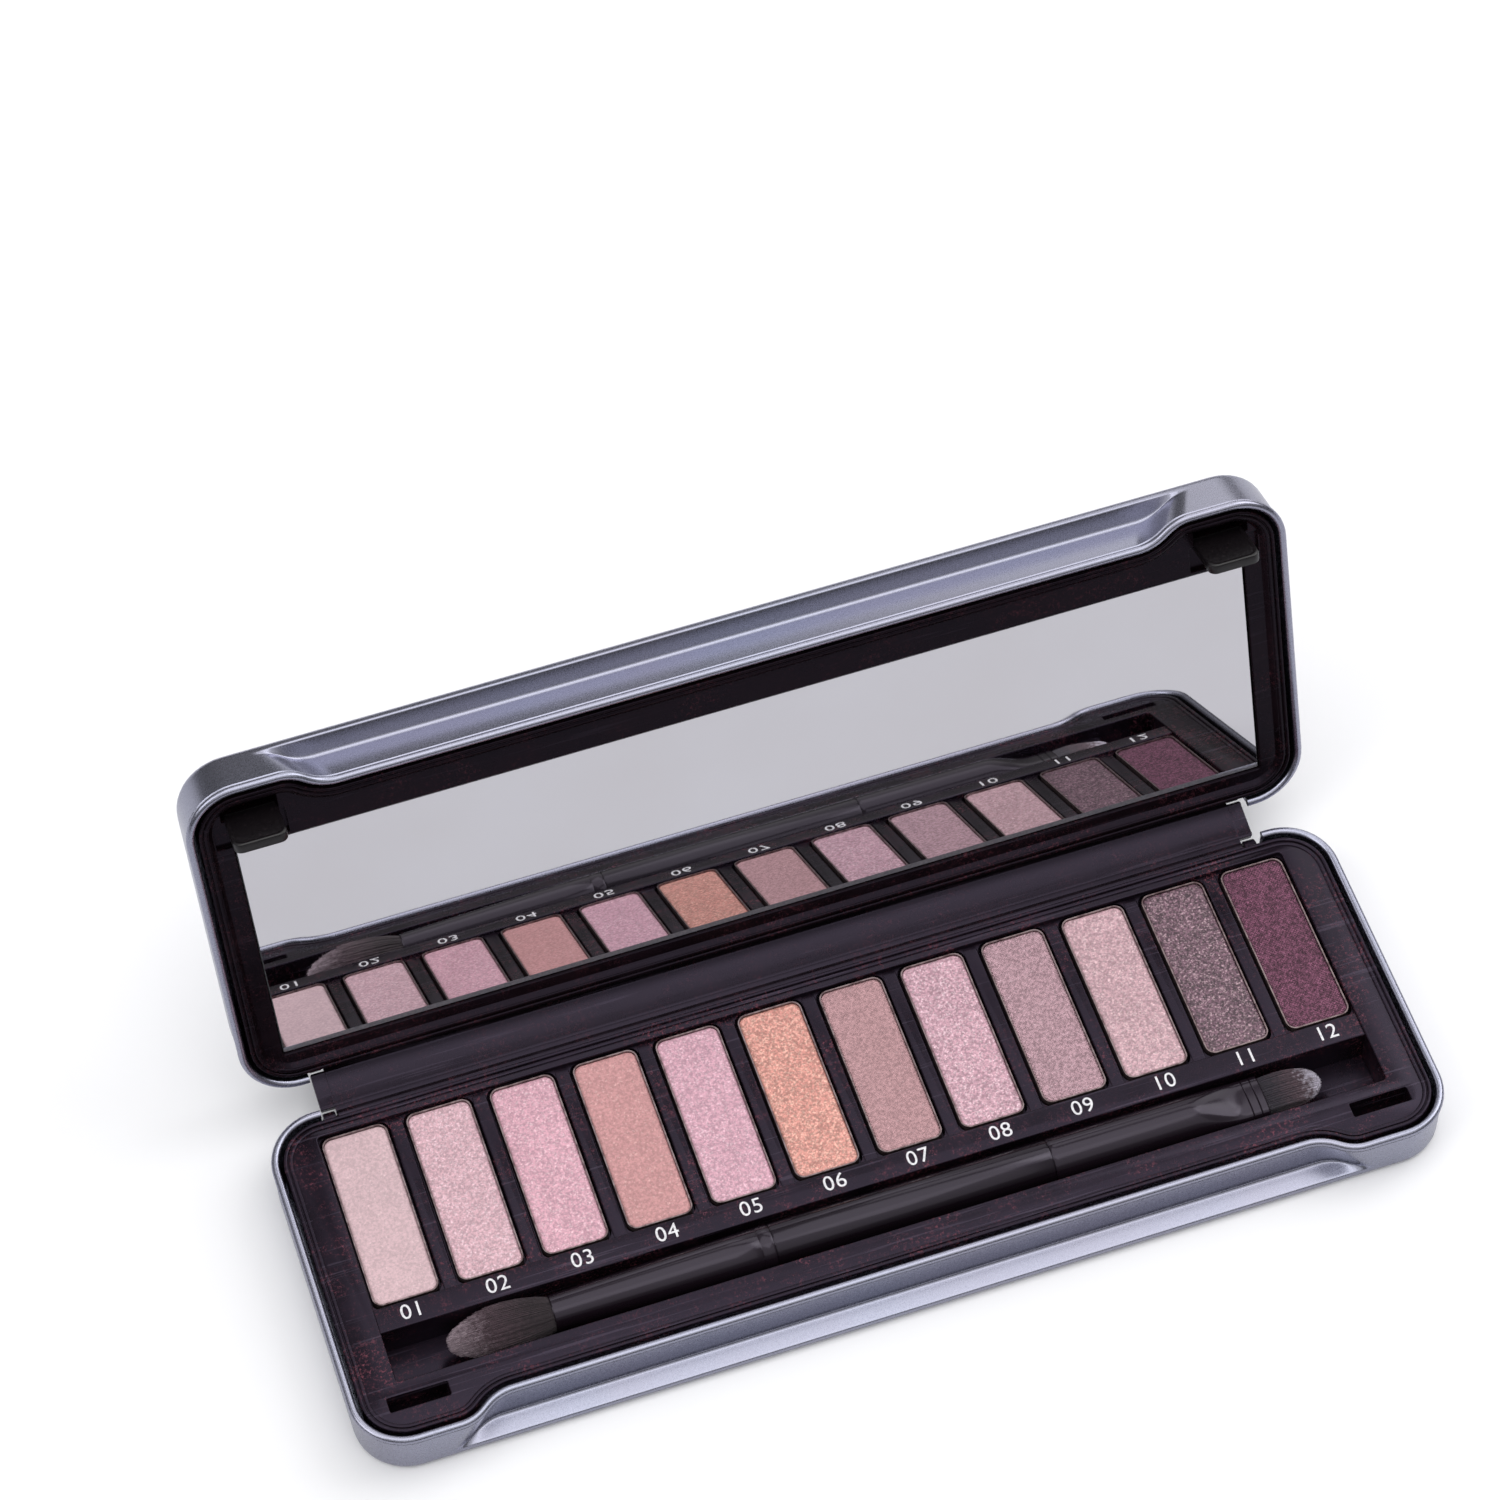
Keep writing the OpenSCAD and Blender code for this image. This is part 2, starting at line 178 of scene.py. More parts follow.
def roundedLoop(corners, steps=8, spacing=None):
    # closed outline through corners (x, y, radius), counter-clockwise: each corner's arc runs
    # between the two points where a circle of that radius touches its sides
    p = np.array([c[:2] for c in corners], float)
    out = []
    for i, (_, _, r) in enumerate(corners):
        u = p[i - 1] - p[i]
        v = p[(i + 1) % len(p)] - p[i]
        u, v = u / np.linalg.norm(u), v / np.linalg.norm(v)
        half = math.acos(np.clip(u @ v, -1, 1)) / 2
        middle = p[i] + (u + v) / np.linalg.norm(u + v) * r / math.sin(half)
        a = p[i] + u * r / math.tan(half) - middle
        b = p[i] + v * r / math.tan(half) - middle
        start = math.atan2(a[1], a[0])
        turn = (math.atan2(b[1], b[0]) - start + math.pi) % (2 * math.pi) - math.pi
        angles = start + turn * np.linspace(0, 1, steps + 1)
        out.append(middle + r * np.stack([np.cos(angles), np.sin(angles)], 1))
    loop = np.vstack(out)
    if spacing is None:
        return loop
    # straight stretches get points no further apart than the spacing
    ahead = np.roll(loop, -1, 0) - loop
    count = np.maximum(1, (np.linalg.norm(ahead, axis=1) / spacing).astype(int))
    first = np.repeat(np.cumsum(count) - count, count)
    share = (np.arange(count.sum()) - first) / np.repeat(count, count)
    return np.repeat(loop, count, 0) + np.repeat(ahead, count, 0) * share[:, None]


def rectLoop(low, high, r, steps=4, grow=0.0):
    x0, y0, x1, y1 = low[0] - grow, low[1] - grow, high[0] + grow, high[1] + grow
    r = max(r + grow, 0.02)
    return roundedLoop([(x1, y1, r), (x0, y1, r), (x0, y0, r), (x1, y0, r)], steps)


def raised(loop, z):
    return np.c_[loop, np.full(len(loop), z)]


def roundedBox(shell, low, high, edge, corner=None, steps=3):
    # an outline carried up the wall, then inwards round a quarter circle of radius edge
    corner = edge if corner is None else corner
    rows = [raised(rectLoop(low, high, corner), low[2])]
    for a in np.linspace(0, math.pi / 2, steps + 1):
        inset = edge * (1 - math.cos(a))
        rows.append(raised(rectLoop(low, high, corner, grow=-inset), high[2] - edge + edge * math.sin(a)))
    shell.grid(np.array(rows), capStart=True, capEnd=True)


def turned(shell, profile, x0, y, z, sides=64):
    # a lathe shape: each profile row (distance along X, radius) becomes a circle about the axis
    profile = np.array(profile, float)
    angle = 2 * math.pi * np.arange(sides) / sides
    rows = np.empty((len(profile), sides, 3))
    rows[..., 0] = x0 + profile[:, :1]
    rows[..., 1] = y + profile[:, 1:] * np.cos(angle)
    rows[..., 2] = z + profile[:, 1:] * np.sin(angle)
    shell.grid(rows, capStart=True, capEnd=True)


def linear(hexColour):
    # sRGB hex to linear
    share = np.array([int(hexColour[k:k + 2], 16) / 255 for k in (0, 2, 4)])
    out = np.where(share <= 0.04045, share / 12.92, ((share + 0.055) / 1.055) ** 2.4)
    return (*out.tolist(), 1.0)


def add(tree, kind, sockets=None, out=0, stops=(), **settings):
    # adds one node: settings are its properties, a socket takes a value, a hex colour or another
    # node's output, and stops are the (position, hex colour or grey) pairs of a colour ramp
    made = tree.nodes.new("ShaderNode" + kind)
    for key, value in settings.items():
        setattr(made, key, value)
    for key, value in (sockets or {}).items():
        if isinstance(value, bpy.types.NodeSocket):
            tree.links.new(value, made.inputs[key])
        else:
            made.inputs[key].default_value = linear(value) if isinstance(value, str) else value
    if stops:
        elements = made.color_ramp.elements
        while len(elements) < len(stops):
            elements.new(0.5)
        for element, (position, colour) in zip(elements, stops):
            element.position = position
            element.color = linear(colour) if isinstance(colour, str) else (colour, colour, colour, 1)
    return made if out is None else made.outputs[out]


def perMm(size):
    # the texture scale that makes one grain this many mm wide
    return 1 / (size * mm)


def newMaterial(name):
    # an empty node tree and the coordinates that its patterns follow
    material = bpy.data.materials.new(name)
    material.use_nodes = True
    tree = material.node_tree
    tree.nodes.clear()
    return material, tree, add(tree, "TexCoord", out="Object")


def finishWith(tree, sockets):
    # the shader that the pattern nodes lead to; plain numbers stay on its own sockets
    add(tree, "OutputMaterial", {"Surface": add(tree, "BsdfPrincipled", sockets)}, out=None)


tinPaintLook = {"dark": "9597a8", "light": "a9abbd", "cloud": "a39fae", "worn": "3f2a2c",
                "flakeMm": 0.30, "cloudMm": 26, "speckMm": 1.1, "patchMm": 17, "rough": (0.25, 0.31)}


def satinTinPaint():
    # lacquered tinplate: pewter flake under a satin coat, with a few rusty specks of wear
    look = tinPaintLook
    material, tree, place = newMaterial("satin_tin_paint")
    flake = add(tree, "TexNoise", {
        "Vector": place, "Scale": perMm(look["flakeMm"]), "Detail": 2, "Roughness": 0.6})
    wide = add(tree, "TexNoise", {"Vector": place, "Scale": perMm(look["cloudMm"]), "Detail": 3})
    colour = add(tree, "ValToRGB", {"Fac": flake}, stops=[(0.3, look["dark"]), (0.7, look["light"])])
    share = add(tree, "MapRange", {"Value": wide, 1: 0.35, 2: 0.65, 3: 0.0, 4: 0.4})
    colour = add(tree, "Mix", {0: share, 6: colour, 7: look["cloud"]}, 2, data_type="RGBA")
    speck = add(tree, "TexNoise", {
        "Vector": place, "Scale": perMm(look["speckMm"]), "Detail": 5, "Roughness": 0.7})
    patch = add(tree, "TexNoise", {
        "Vector": place, "Scale": perMm(look["patchMm"]), "Detail": 3, "Roughness": 0.55})
    spots = add(tree, "MapRange", {"Value": speck, 1: 0.66, 2: 0.70, 3: 0.0, 4: 0.9})
    areas = add(tree, "MapRange", {"Value": patch, 1: 0.60, 2: 0.68, 3: 0.0, 4: 1.0})
    worn = add(tree, "Math", {0: spots, 1: areas}, operation="MULTIPLY")
    colour = add(tree, "Mix", {0: worn, 6: colour, 7: look["worn"]}, 2, data_type="RGBA")
    smooth, dull = look["rough"]
    finishWith(tree, {
        "Base Color": colour,
        "Metallic": add(tree, "MapRange", {"Value": worn, 3: 1.0, 4: 0.2}),
        "Roughness": add(tree, "MapRange", {"Value": flake, 1: 0.3, 2: 0.7, 3: smooth, 4: dull}),
        "Coat Weight": 0.35,
        "Coat Roughness": 0.14,
        "Normal": add(tree, "Bump", {"Height": flake, "Strength": 0.10, "Distance": 0.02 * mm})})
    return material


absLook = {"dust": "94505c", "lint": "8d8796", "scratch": "6a6072", "tint": "d8c8ec",
           "cloudMm": 9, "patchMm": 11, "dustMm": 0.75, "lintMm": 0.35, "scratchMm": 1.2,
           "grainMm": 0.4, "rough": (0.22, 0.32)}


def mouldedBlackAbs(name, base, cloud, dusty, scratched, specular):
    # injection-moulded ABS: plum black and satin, with powder dust rubbed in and hairline scratches
    look = absLook
    material, tree, place = newMaterial(name)
    broad = add(tree, "TexNoise", {
        "Vector": place, "Scale": perMm(look["cloudMm"]), "Detail": 4, "Roughness": 0.55})
    colour = add(tree, "ValToRGB", {"Fac": broad}, stops=[(0.35, base), (0.68, cloud)])
    patch = add(tree, "TexNoise", {
        "Vector": place, "Scale": perMm(look["patchMm"]), "Detail": 5, "Roughness": 0.65})
    grain = add(tree, "TexNoise", {
        "Vector": place, "Scale": perMm(look["dustMm"]), "Detail": 7, "Roughness": 0.9})
    spots = add(tree, "MapRange", {"Value": grain, 1: 0.53, 2: 0.64, 3: 0.0, 4: 1.0})
    areas = add(tree, "MapRange", {"Value": patch, 1: 0.47, 2: 0.64, 3: 0.05 * dusty, 4: dusty})
    powder = add(tree, "Math", {0: spots, 1: areas}, operation="MULTIPLY")
    colour = add(tree, "Mix", {0: powder, 6: colour, 7: look["dust"]}, 2, data_type="RGBA")
    # pale lint lies singly all over
    fluff = add(tree, "TexNoise", {
        "Vector": place, "Scale": perMm(look["lintMm"]), "Detail": 3, "Roughness": 0.8})
    lint = add(tree, "MapRange", {"Value": fluff, 1: 0.70, 2: 0.76, 3: 0.0, 4: 0.5 * dusty})
    colour = add(tree, "Mix", {0: lint, 6: colour, 7: look["lint"]}, 2, data_type="RGBA")
    # hairlines run along the palette
    along = add(tree, "Mapping", {"Vector": place, "Scale": (0.03, 1.4, 1.0)})
    hair = add(tree, "TexNoise", {
        "Vector": along, "Scale": perMm(look["scratchMm"]), "Detail": 3, "Roughness": 0.7})
    lines = add(tree, "MapRange", {"Value": hair, 1: 0.60, 2: 0.66, 3: 0.0, 4: scratched})
    colour = add(tree, "Mix", {0: lines, 6: colour, 7: look["scratch"]}, 2, data_type="RGBA")
    smooth, dull = look["rough"]
    satin = add(tree, "MapRange", {"Value": broad, 1: 0.3, 2: 0.7, 3: smooth, 4: dull})
    fine = add(tree, "TexNoise", {
        "Vector": place, "Scale": perMm(look["grainMm"]), "Detail": 4, "Roughness": 0.65})
    finishWith(tree, {
        "Base Color": colour,
        "Roughness": add(tree, "Math", {0: powder, 1: 0.5, 2: satin}, operation="MULTIPLY_ADD"),
        "IOR": 1.5,
        "Specular IOR Level": specular,
        "Specular Tint": look["tint"],
        "Normal": add(tree, "Bump", {"Height": fine, "Strength": 0.08, "Distance": 0.03 * mm})})
    return material


powderLook = {"grainMm": 0.36, "clumpMm": 0.5, "driftMm": 5.5, "flakeMm": 0.24, "threadMm": 0.62}


def powderFinish(name, light, dark, glint, glintShare, metal, rough, weave, contrast):
    # pressed powder: compacted pigment with fine grain, mica flakes with painted glints, and the press
    # cloth's weave with painted shade in its hollows
    look = powderLook
    material, tree, place = newMaterial(name)
    fine = add(tree, "TexNoise", {
        "Vector": place, "Scale": perMm(look["grainMm"]), "Detail": 4, "Roughness": 0.85})
    along = add(tree, "Mapping", {"Vector": place, "Scale": (1.0, 0.55, 1.0)})
    wide = add(tree, "TexNoise", {
        "Vector": along, "Scale": perMm(look["driftMm"]), "Detail": 5, "Roughness": 0.65})
    part = add(tree, "Math", {0: wide, 1: 0.3}, operation="MULTIPLY")
    both = add(tree, "Math", {0: fine, 1: 0.7, 2: part}, operation="MULTIPLY_ADD")
    colour = add(tree, "ValToRGB", {"Fac": both}, stops=[(0.40, dark), (0.59, light)])
    # mica flakes, drawn coarser than real so that they show; the flakes are real, and their pale colour is
    # a painted glint
    cells = add(tree, "TexVoronoi", {"Vector": place, "Scale": perMm(look["flakeMm"])}, "Color")
    sparkle = add(tree, "SeparateColor", {"Color": cells}, None)
    flake = add(tree, "MapRange", {"Value": sparkle.outputs[0], 1: 1 - glintShare, 2: 1.0, 3: 0.0, 4: 0.5})
    colour = add(tree, "Mix", {0: flake, 6: colour, 7: glint}, 2, data_type="RGBA")
    grainHeight = add(tree, "Math", {0: sparkle.outputs[1], 1: 0.3, 2: fine}, operation="MULTIPLY_ADD")
    normal = add(tree, "Bump", {"Height": grainHeight, "Strength": 0.6, "Distance": 0.09 * mm})
    if weave:
        # plain weave imprint: one sine along X times one along Y, as a bump, with painted shade mixed into
        # its hollows
        turn = 2 * math.pi * perMm(look["threadMm"])
        split = add(tree, "SeparateXYZ", {"Vector": place}, None)
        angles = [add(tree, "Math", {0: split.outputs[k], 1: turn}, operation="MULTIPLY") for k in (0, 1)]
        waves = [add(tree, "Math", {0: angle}, operation="SINE") for angle in angles]
        cloth = add(tree, "Math", {0: waves[0], 1: waves[1]}, operation="MULTIPLY")
        patchy = add(tree, "MapRange", {"Value": wide, 1: 0.35, 2: 0.6, 3: 0.3, 4: 1.0})
        sunk = add(tree, "MapRange", {"Value": cloth, 1: -1.0, 2: 1.0, 3: weave, 4: 0.0})
        shade = add(tree, "Math", {0: sunk, 1: patchy}, operation="MULTIPLY")
        # painted shade: the colour darkens towards the dark shade where the imprint sinks
        colour = add(tree, "Mix", {0: shade, 6: colour, 7: dark}, 2, data_type="RGBA")
        normal = add(tree, "Bump", {
            "Height": cloth, "Strength": weave, "Distance": 0.14 * mm, "Normal": normal})
    # clumps of grain stand in each other's light, drawn coarser than real so that they show
    clump = add(tree, "TexNoise", {
        "Vector": place, "Scale": perMm(look["clumpMm"]), "Detail": 2, "Roughness": 0.6})
    bright = add(tree, "MapRange", {"Value": clump, 1: 0.38, 2: 0.62, 3: 1 - contrast, 4: 1 + contrast})
    colour = add(tree, "HueSaturation", {"Color": colour, "Value": bright})
    finishWith(tree, {
        "Base Color": colour,
        "Metallic": add(tree, "Math", {0: flake, 1: metal}, operation="MULTIPLY"),
        "Roughness": add(tree, "MapRange", {"Value": flake, 3: rough, 4: 0.38}),
        "Normal": normal})
    return material


def pressedPan():
    # thin stamped aluminium, dulled by the powder rubbed into its rim
    material, tree, place = newMaterial("pressed_pan_metal")
    rubbed = add(tree, "TexNoise", {"Vector": place, "Scale": perMm(1.2), "Detail": 4, "Roughness": 0.6})
    finishWith(tree, {
        "Base Color": add(tree, "ValToRGB", {"Fac": rubbed}, stops=[(0.4, "8f7f80"), (0.65, "5c4a4c")]),
        "Metallic": 0.8,
        "Roughness": add(tree, "MapRange", {"Value": rubbed, 1: 0.3, 2: 0.7, 3: 0.28, 4: 0.45})})
    return material


def silveredGlass():
    # float glass with a silver back: a clear reflection with a trace of grey and faint smears
    material, tree, place = newMaterial("silvered_glass")
    haze = add(tree, "TexNoise", {"Vector": place, "Scale": perMm(30), "Detail": 3})
    smear = add(tree, "TexNoise", {"Vector": place, "Scale": perMm(6), "Detail": 4, "Roughness": 0.6})
    finishWith(tree, {
        "Base Color": add(tree, "ValToRGB", {"Fac": haze}, stops=[(0.3, "d9d7da"), (0.7, "dcdbdf")]),
        "Metallic": 1.0,
        "Roughness": add(tree, "MapRange", {"Value": smear, 1: 0.45, 2: 0.75, 3: 0.012, 4: 0.03})})
    return material


def groundGlassEdge():
    # the bevelled border of the mirror, ground and half polished
    material, tree, place = newMaterial("ground_glass_edge")
    grit = add(tree, "TexNoise", {"Vector": place, "Scale": perMm(0.4), "Detail": 3})
    finishWith(tree, {
        "Base Color": add(tree, "ValToRGB", {"Fac": grit}, stops=[(0.3, "c9cad6"), (0.7, "eeeef4")]),
        "Metallic": 0.7,
        "Roughness": 0.2,
        "Normal": add(tree, "Bump", {"Height": grit, "Strength": 0.3, "Distance": 0.03 * mm})})
    return material


def softRubber():
    # moulded TPE: near black, dull with lint and dust on it
    material, tree, place = newMaterial("soft_latch_rubber")
    grain = add(tree, "TexNoise", {"Vector": place, "Scale": perMm(0.5), "Detail": 5, "Roughness": 0.8})
    dust = add(tree, "MapRange", {"Value": grain, 1: 0.62, 2: 0.72, 3: 0.0, 4: 0.5})
    finishWith(tree, {
        "Base Color": add(tree, "Mix", {0: dust, 6: "100c0f", 7: "6e5a62"}, 2, data_type="RGBA"),
        "Roughness": add(tree, "MapRange", {"Value": grain, 1: 0.3, 2: 0.7, 3: 0.24, 4: 0.45}),
        "Normal": add(tree, "Bump", {"Height": grain, "Strength": 0.3, "Distance": 0.06 * mm})})
    return material


def drawnSteel():
    # drawn wire: fine lines along its length
    material, tree, place = newMaterial("drawn_steel_pin")
    along = add(tree, "Mapping", {"Vector": place, "Scale": (0.02, 1.0, 1.0)})
    lines = add(tree, "TexNoise", {"Vector": along, "Scale": perMm(0.2), "Detail": 2})
    finishWith(tree, {
        "Base Color": add(tree, "ValToRGB", {"Fac": lines}, stops=[(0.3, "8c8c90"), (0.7, "b4b4b8")]),
        "Metallic": 1.0,
        "Roughness": 0.3})
    return material


def glossLacquer(name, base, spot):
    # sprayed lacquer on turned wood or drawn tube: deep gloss with orange peel and dust specks
    material, tree, place = newMaterial(name)
    grain = add(tree, "TexNoise", {"Vector": place, "Scale": perMm(0.45), "Detail": 6, "Roughness": 0.8})
    specks = add(tree, "MapRange", {"Value": grain, 1: 0.68, 2: 0.72, 3: 0.0, 4: 0.6})
    hazy = add(tree, "TexNoise", {"Vector": place, "Scale": perMm(7), "Detail": 3})
    peel = add(tree, "TexNoise", {"Vector": place, "Scale": perMm(2.2), "Detail": 2, "Roughness": 0.4})
    finishWith(tree, {
        "Base Color": add(tree, "Mix", {0: specks, 6: base, 7: spot}, 2, data_type="RGBA"),
        "Roughness": add(tree, "MapRange", {"Value": hazy, 1: 0.3, 2: 0.7, 3: 0.16, 4: 0.24}),
        "Specular IOR Level": 0.42,
        "Specular Tint": "dccdec",
        "Coat Weight": 0.3,
        "Coat Roughness": 0.1,
        "Normal": add(tree, "Bump", {"Height": peel, "Strength": 0.05, "Distance": 0.05 * mm})})
    return material


def fibreTips(name, root, middle, tip, start, end):
    # dyed nylon filament, dark at the ferrule and pale with powder at the tips
    material, tree, place = newMaterial(name)
    split = add(tree, "SeparateXYZ", {"Vector": place})
    along = add(tree, "MapRange", {"Value": split, 1: start * mm, 2: end * mm, 3: 0.0, 4: 1.0})
    tuft = add(tree, "TexNoise", {"Vector": place, "Scale": perMm(0.7), "Detail": 3})
    ragged = add(tree, "MapRange", {"Value": tuft, 1: 0.3, 2: 0.7, 3: -0.16, 4: 0.16})
    uneven = add(tree, "Math", {0: along, 1: ragged}, operation="ADD")
    stops = [(0.15, root), (0.62, middle), (0.95, tip)]
    finishWith(tree, {
        "Base Color": add(tree, "ValToRGB", {"Fac": uneven}, stops=stops),
        "Roughness": 0.42,
        "Sheen Weight": 0.3})
    return material


def twoTone(name, first, second, grainMm, rough):
    # a plain matt coat, slightly patchy: pad-printed ink, tape and glue
    material, tree, place = newMaterial(name)
    patchy = add(tree, "TexNoise", {
        "Vector": place, "Scale": perMm(grainMm), "Detail": 4, "Roughness": 0.6})
    finishWith(tree, {
        "Base Color": add(tree, "ValToRGB", {"Fac": patchy}, stops=[(0.3, first), (0.6, second)]),
        "Roughness": rough})
    return material


tinPaint = satinTinPaint()
trayBlack = mouldedBlackAbs("moulded_black_abs", "0c070c", "171018", 0.95, 0.2, 0.36)
# the lid frame's copy of the tray plastic has darker colours and less shine: painted shade on the lid's
# frame
lidShadedBlack = mouldedBlackAbs("moulded_black_abs_lid_shaded", "0b0609", "140c10", 0.35, 0.05, 0.16)
spineBlack = mouldedBlackAbs("moulded_black_abs_spine", "120d12", "1d171d", 0.3, 0.15, 0.36)
panMetal = pressedPan()
mirrorFace = silveredGlass()
mirrorEdge = groundGlassEdge()
tabRubber = softRubber()
pinSteel = drawnSteel()
handleLacquer = glossLacquer("handle_lacquer", "120c11", "4a3a42")
ferruleLacquer = glossLacquer("ferrule_lacquer", "171016", "5a4a52")
printInk = twoTone("white_pad_print", "c9c6cc", "f1f0f3", 0.4, 0.45)
tapeBacking = twoTone("tape_backing", "d6d0c4", "e2ddd2", 1.0, 0.6)
clearGlue = twoTone("clear_glue", "cfc8b8", "ddd6c6", 1.0, 0.6)
print("materials made")


def dress(piece, body, materials, replaced=()):
    # gives a new piece its materials, its body and the nodes that it stands for
    for material in materials:
        piece.data.materials.append(material)
    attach(piece, body)
    if replaced:
        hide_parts(*replaced)
    return piece


def dressCad(name, material):
    # a carried-over node keeps its mesh and gets a better material
    if len(nodes[name].data.materials) == 0:
        nodes[name].data.materials.append(material)
    for slot in nodes[name].material_slots:
        slot.material = material


tinShape = {"wall": 0.5, "wallIn": 0.3, "corner": 10.0, "edge": 1.5, "curl": 0.75,
            "inset": 3.8, "jogOut": 80.8, "jogIn": 75.6, "jogRadius": 8.0, "jogLean": 3.2, "leanTop": 8.5,
            "ledgeFoot": 2.3, "ledgeRise": 0.7, "footRound": 0.4, "crease": 0.8, "baseInset": 9.0,
            "notchGap": 0.3, "notchDrop": 1.8}


def rimLoop(d, b=1.0, lean=0.0):
    # the tin's outline moved inwards by d; b = 0 fills the finger grip out to the plain front,
    # and lean moves the jogs outwards
    t = tinShape
    x, y, r = tinHalf - d, tinDeep - d, t["corner"] - d
    slope = math.atan(t["inset"] / (t["jogOut"] - t["jogIn"]))
    slip = d * math.tan(slope / 2)
    xo, xi, yi = t["jogOut"] + slip + lean, t["jogIn"] + slip + lean, -y + t["inset"]
    loop = roundedLoop([(x, y, r), (-x, y, r), (-x, -y, r), (-xo, -y, t["jogRadius"] - d),
                        (-xi, yi, t["jogRadius"] + d), (xi, yi, t["jogRadius"] + d),
                        (xo, -y, t["jogRadius"] - d), (x, -y, r)], 12)
    front = (np.abs(loop[:, 0]) < xo + 6) & (loop[:, 1] < 0)
    loop[front, 1] = -y + b * (loop[front, 1] + y)
    return loop


def tinShell():
    # outlines carried up a profile: flat base, quarter-round edge, wall with the grip's ledge,
    # curled rim of a little over half a circle, and the same way down inside
    t = tinShape
    rows = []

    def row(d, z, b):
        lean = t["jogLean"] * np.clip((t["leanTop"] - z) / (t["leanTop"] - t["ledgeFoot"]), 0, 1)
        rows.append(raised(rimLoop(d, b, lean), z))

    w = t["wallIn"]
    row(t["baseInset"], 0.0, 0)
    for a in np.linspace(0, math.pi / 2, 7):
        row(w + t["edge"] * (1 - math.sin(a)), t["edge"] * (1 - math.cos(a)), 0)
    # the ledge: a convex round at its foot, a gentle slope, and a tight crease up into the wall
    tilt = math.atan(t["ledgeRise"] / t["inset"])
    r, c = t["footRound"], t["crease"]
    footZ = t["ledgeFoot"] + r * math.tan(tilt) - r / math.cos(tilt)
    creaseX = t["inset"] - c
    creaseZ = t["ledgeFoot"] + (creaseX + c * math.sin(tilt)) * math.tan(tilt) + c * math.cos(tilt)
    for a in np.linspace(math.pi, math.pi / 2 + tilt, 7):
        row(w, footZ + r * math.sin(a), (r + r * math.cos(a)) / t["inset"])
    for s in np.linspace(0.2, 0.7, 4) * t["inset"]:
        row(w, t["ledgeFoot"] + s * math.tan(tilt), s / t["inset"])
    for a in np.linspace(tilt - math.pi / 2, 0, 9):
        row(w, creaseZ + c * math.sin(a), (creaseX + c * math.cos(a)) / t["inset"])
    curl, top = t["curl"], tinTall
    row(w, top - 2 * curl - 0.25, 1)
    for a in np.linspace(-0.42, 1.25, 20) * math.pi:
        row(curl - curl * math.cos(a), top - curl + curl * math.sin(a), 1)
    inner = t["wall"] + w
    row(inner, creaseZ, 1)
    row(inner, t["ledgeFoot"] + t["ledgeRise"] - t["wall"], 1)
    row(inner, t["ledgeFoot"] - t["wall"], 0)
    row(inner + 1.0, inner, 0)
    row(t["baseInset"], inner, 0)
    shell = Shell()
    shell.grid(np.array(rows), capStart=True, capEnd=True)
    return shell


def cutBox(piece, low, high):
    # takes a box out of a closed mesh and keeps the result as plain mesh data
    tool = Shell()
    roundedBox(tool, low, high, 0.01, 0.4, steps=1)
    cutter = tool.make("notch_tool", weld=0)
    cut = piece.modifiers.new("notch", "BOOLEAN")
    cut.operation, cut.solver, cut.object = "DIFFERENCE", "EXACT", cutter
    graph = bpy.context.evaluated_depsgraph_get()
    mesh = bpy.data.meshes.new_from_object(piece.evaluated_get(graph))
    piece.modifiers.clear()
    old = piece.data
    piece.data = mesh
    bpy.data.meshes.remove(old)
    bpy.data.objects.remove(cutter)


def makeTin(name, body, replaced, place=None):
    # a tin with a notch cut through its back for the hinge, left as drawn or carried to its place
    t = tinShape
    piece = tinShell().make(name, sharp=50)
    half = pinEnd + t["notchGap"]
    cutBox(piece, (-half, tinDeep - 3, basePin[2] - t["notchDrop"]), (half, tinDeep + 1, tinTall + 1))
    mesh = piece.data
    if place is not None:
        points = np.empty(len(mesh.vertices) * 3)
        mesh.vertices.foreach_get("co", points)
        mesh.vertices.foreach_set("co", (place(points.reshape(-1, 3) / mm) * mm).ravel())
        mesh.flip_normals()
    smoothMesh(mesh, 42)
    return dress(piece, body, [tinPaint], [replaced])


makeTin("base_tin_stamping", "base", "base_tin")
makeTin("lid_tin_stamping", "lid", "lid_tin", onLid)
print("tins made")

panCount = sum(1 for n in nodes if n.startswith("pan_") and n != "pan_glue")
firstPan = boxMm("pan_01")
lastPan = boxMm(f"pan_{panCount:02d}")
panPitch = (lastPan[0][0] - firstPan[0][0]) / (panCount - 1)
panWide = firstPan[1][0] - firstPan[0][0]
panFront, panBack = firstPan[0][1], firstPan[1][1]
panFloor = firstPan[0][2]

trayShape = {"gap": 2.2, "bottom": 0.7, "landDrop": 0.6, "beadHalf": 0.36, "fieldHalf": 91.65,
             "well": 0.45, "barDrop": 1.0, "stripDrop": 0.4, "troughBack": -11.9, "troughFront": -21.8,
             "troughTall": 7.9, "troughY": -15.84, "troughHalf": 91.0, "fingerWell": 7.5,
             "slotX": 88.85, "slotY": -25.75, "slotLong": 10.9, "slotWide": 2.75, "slotDeep": 6.3,
             "catchHigh": 1.4, "catchLow": 3.2, "catchOut": 0.3, "edge": 0.28, "slotEdge": 0.18,
             "wellRadius": 1.7, "floorUnder": 3.0, "barUnder": 4.0, "stripUnder": 2.0,
             "lugX": 88.05, "lugHalf": 1.15, "lugRadius": 1.5, "lugEdge": 0.15}
landZ = tinTall - trayShape["landDrop"]


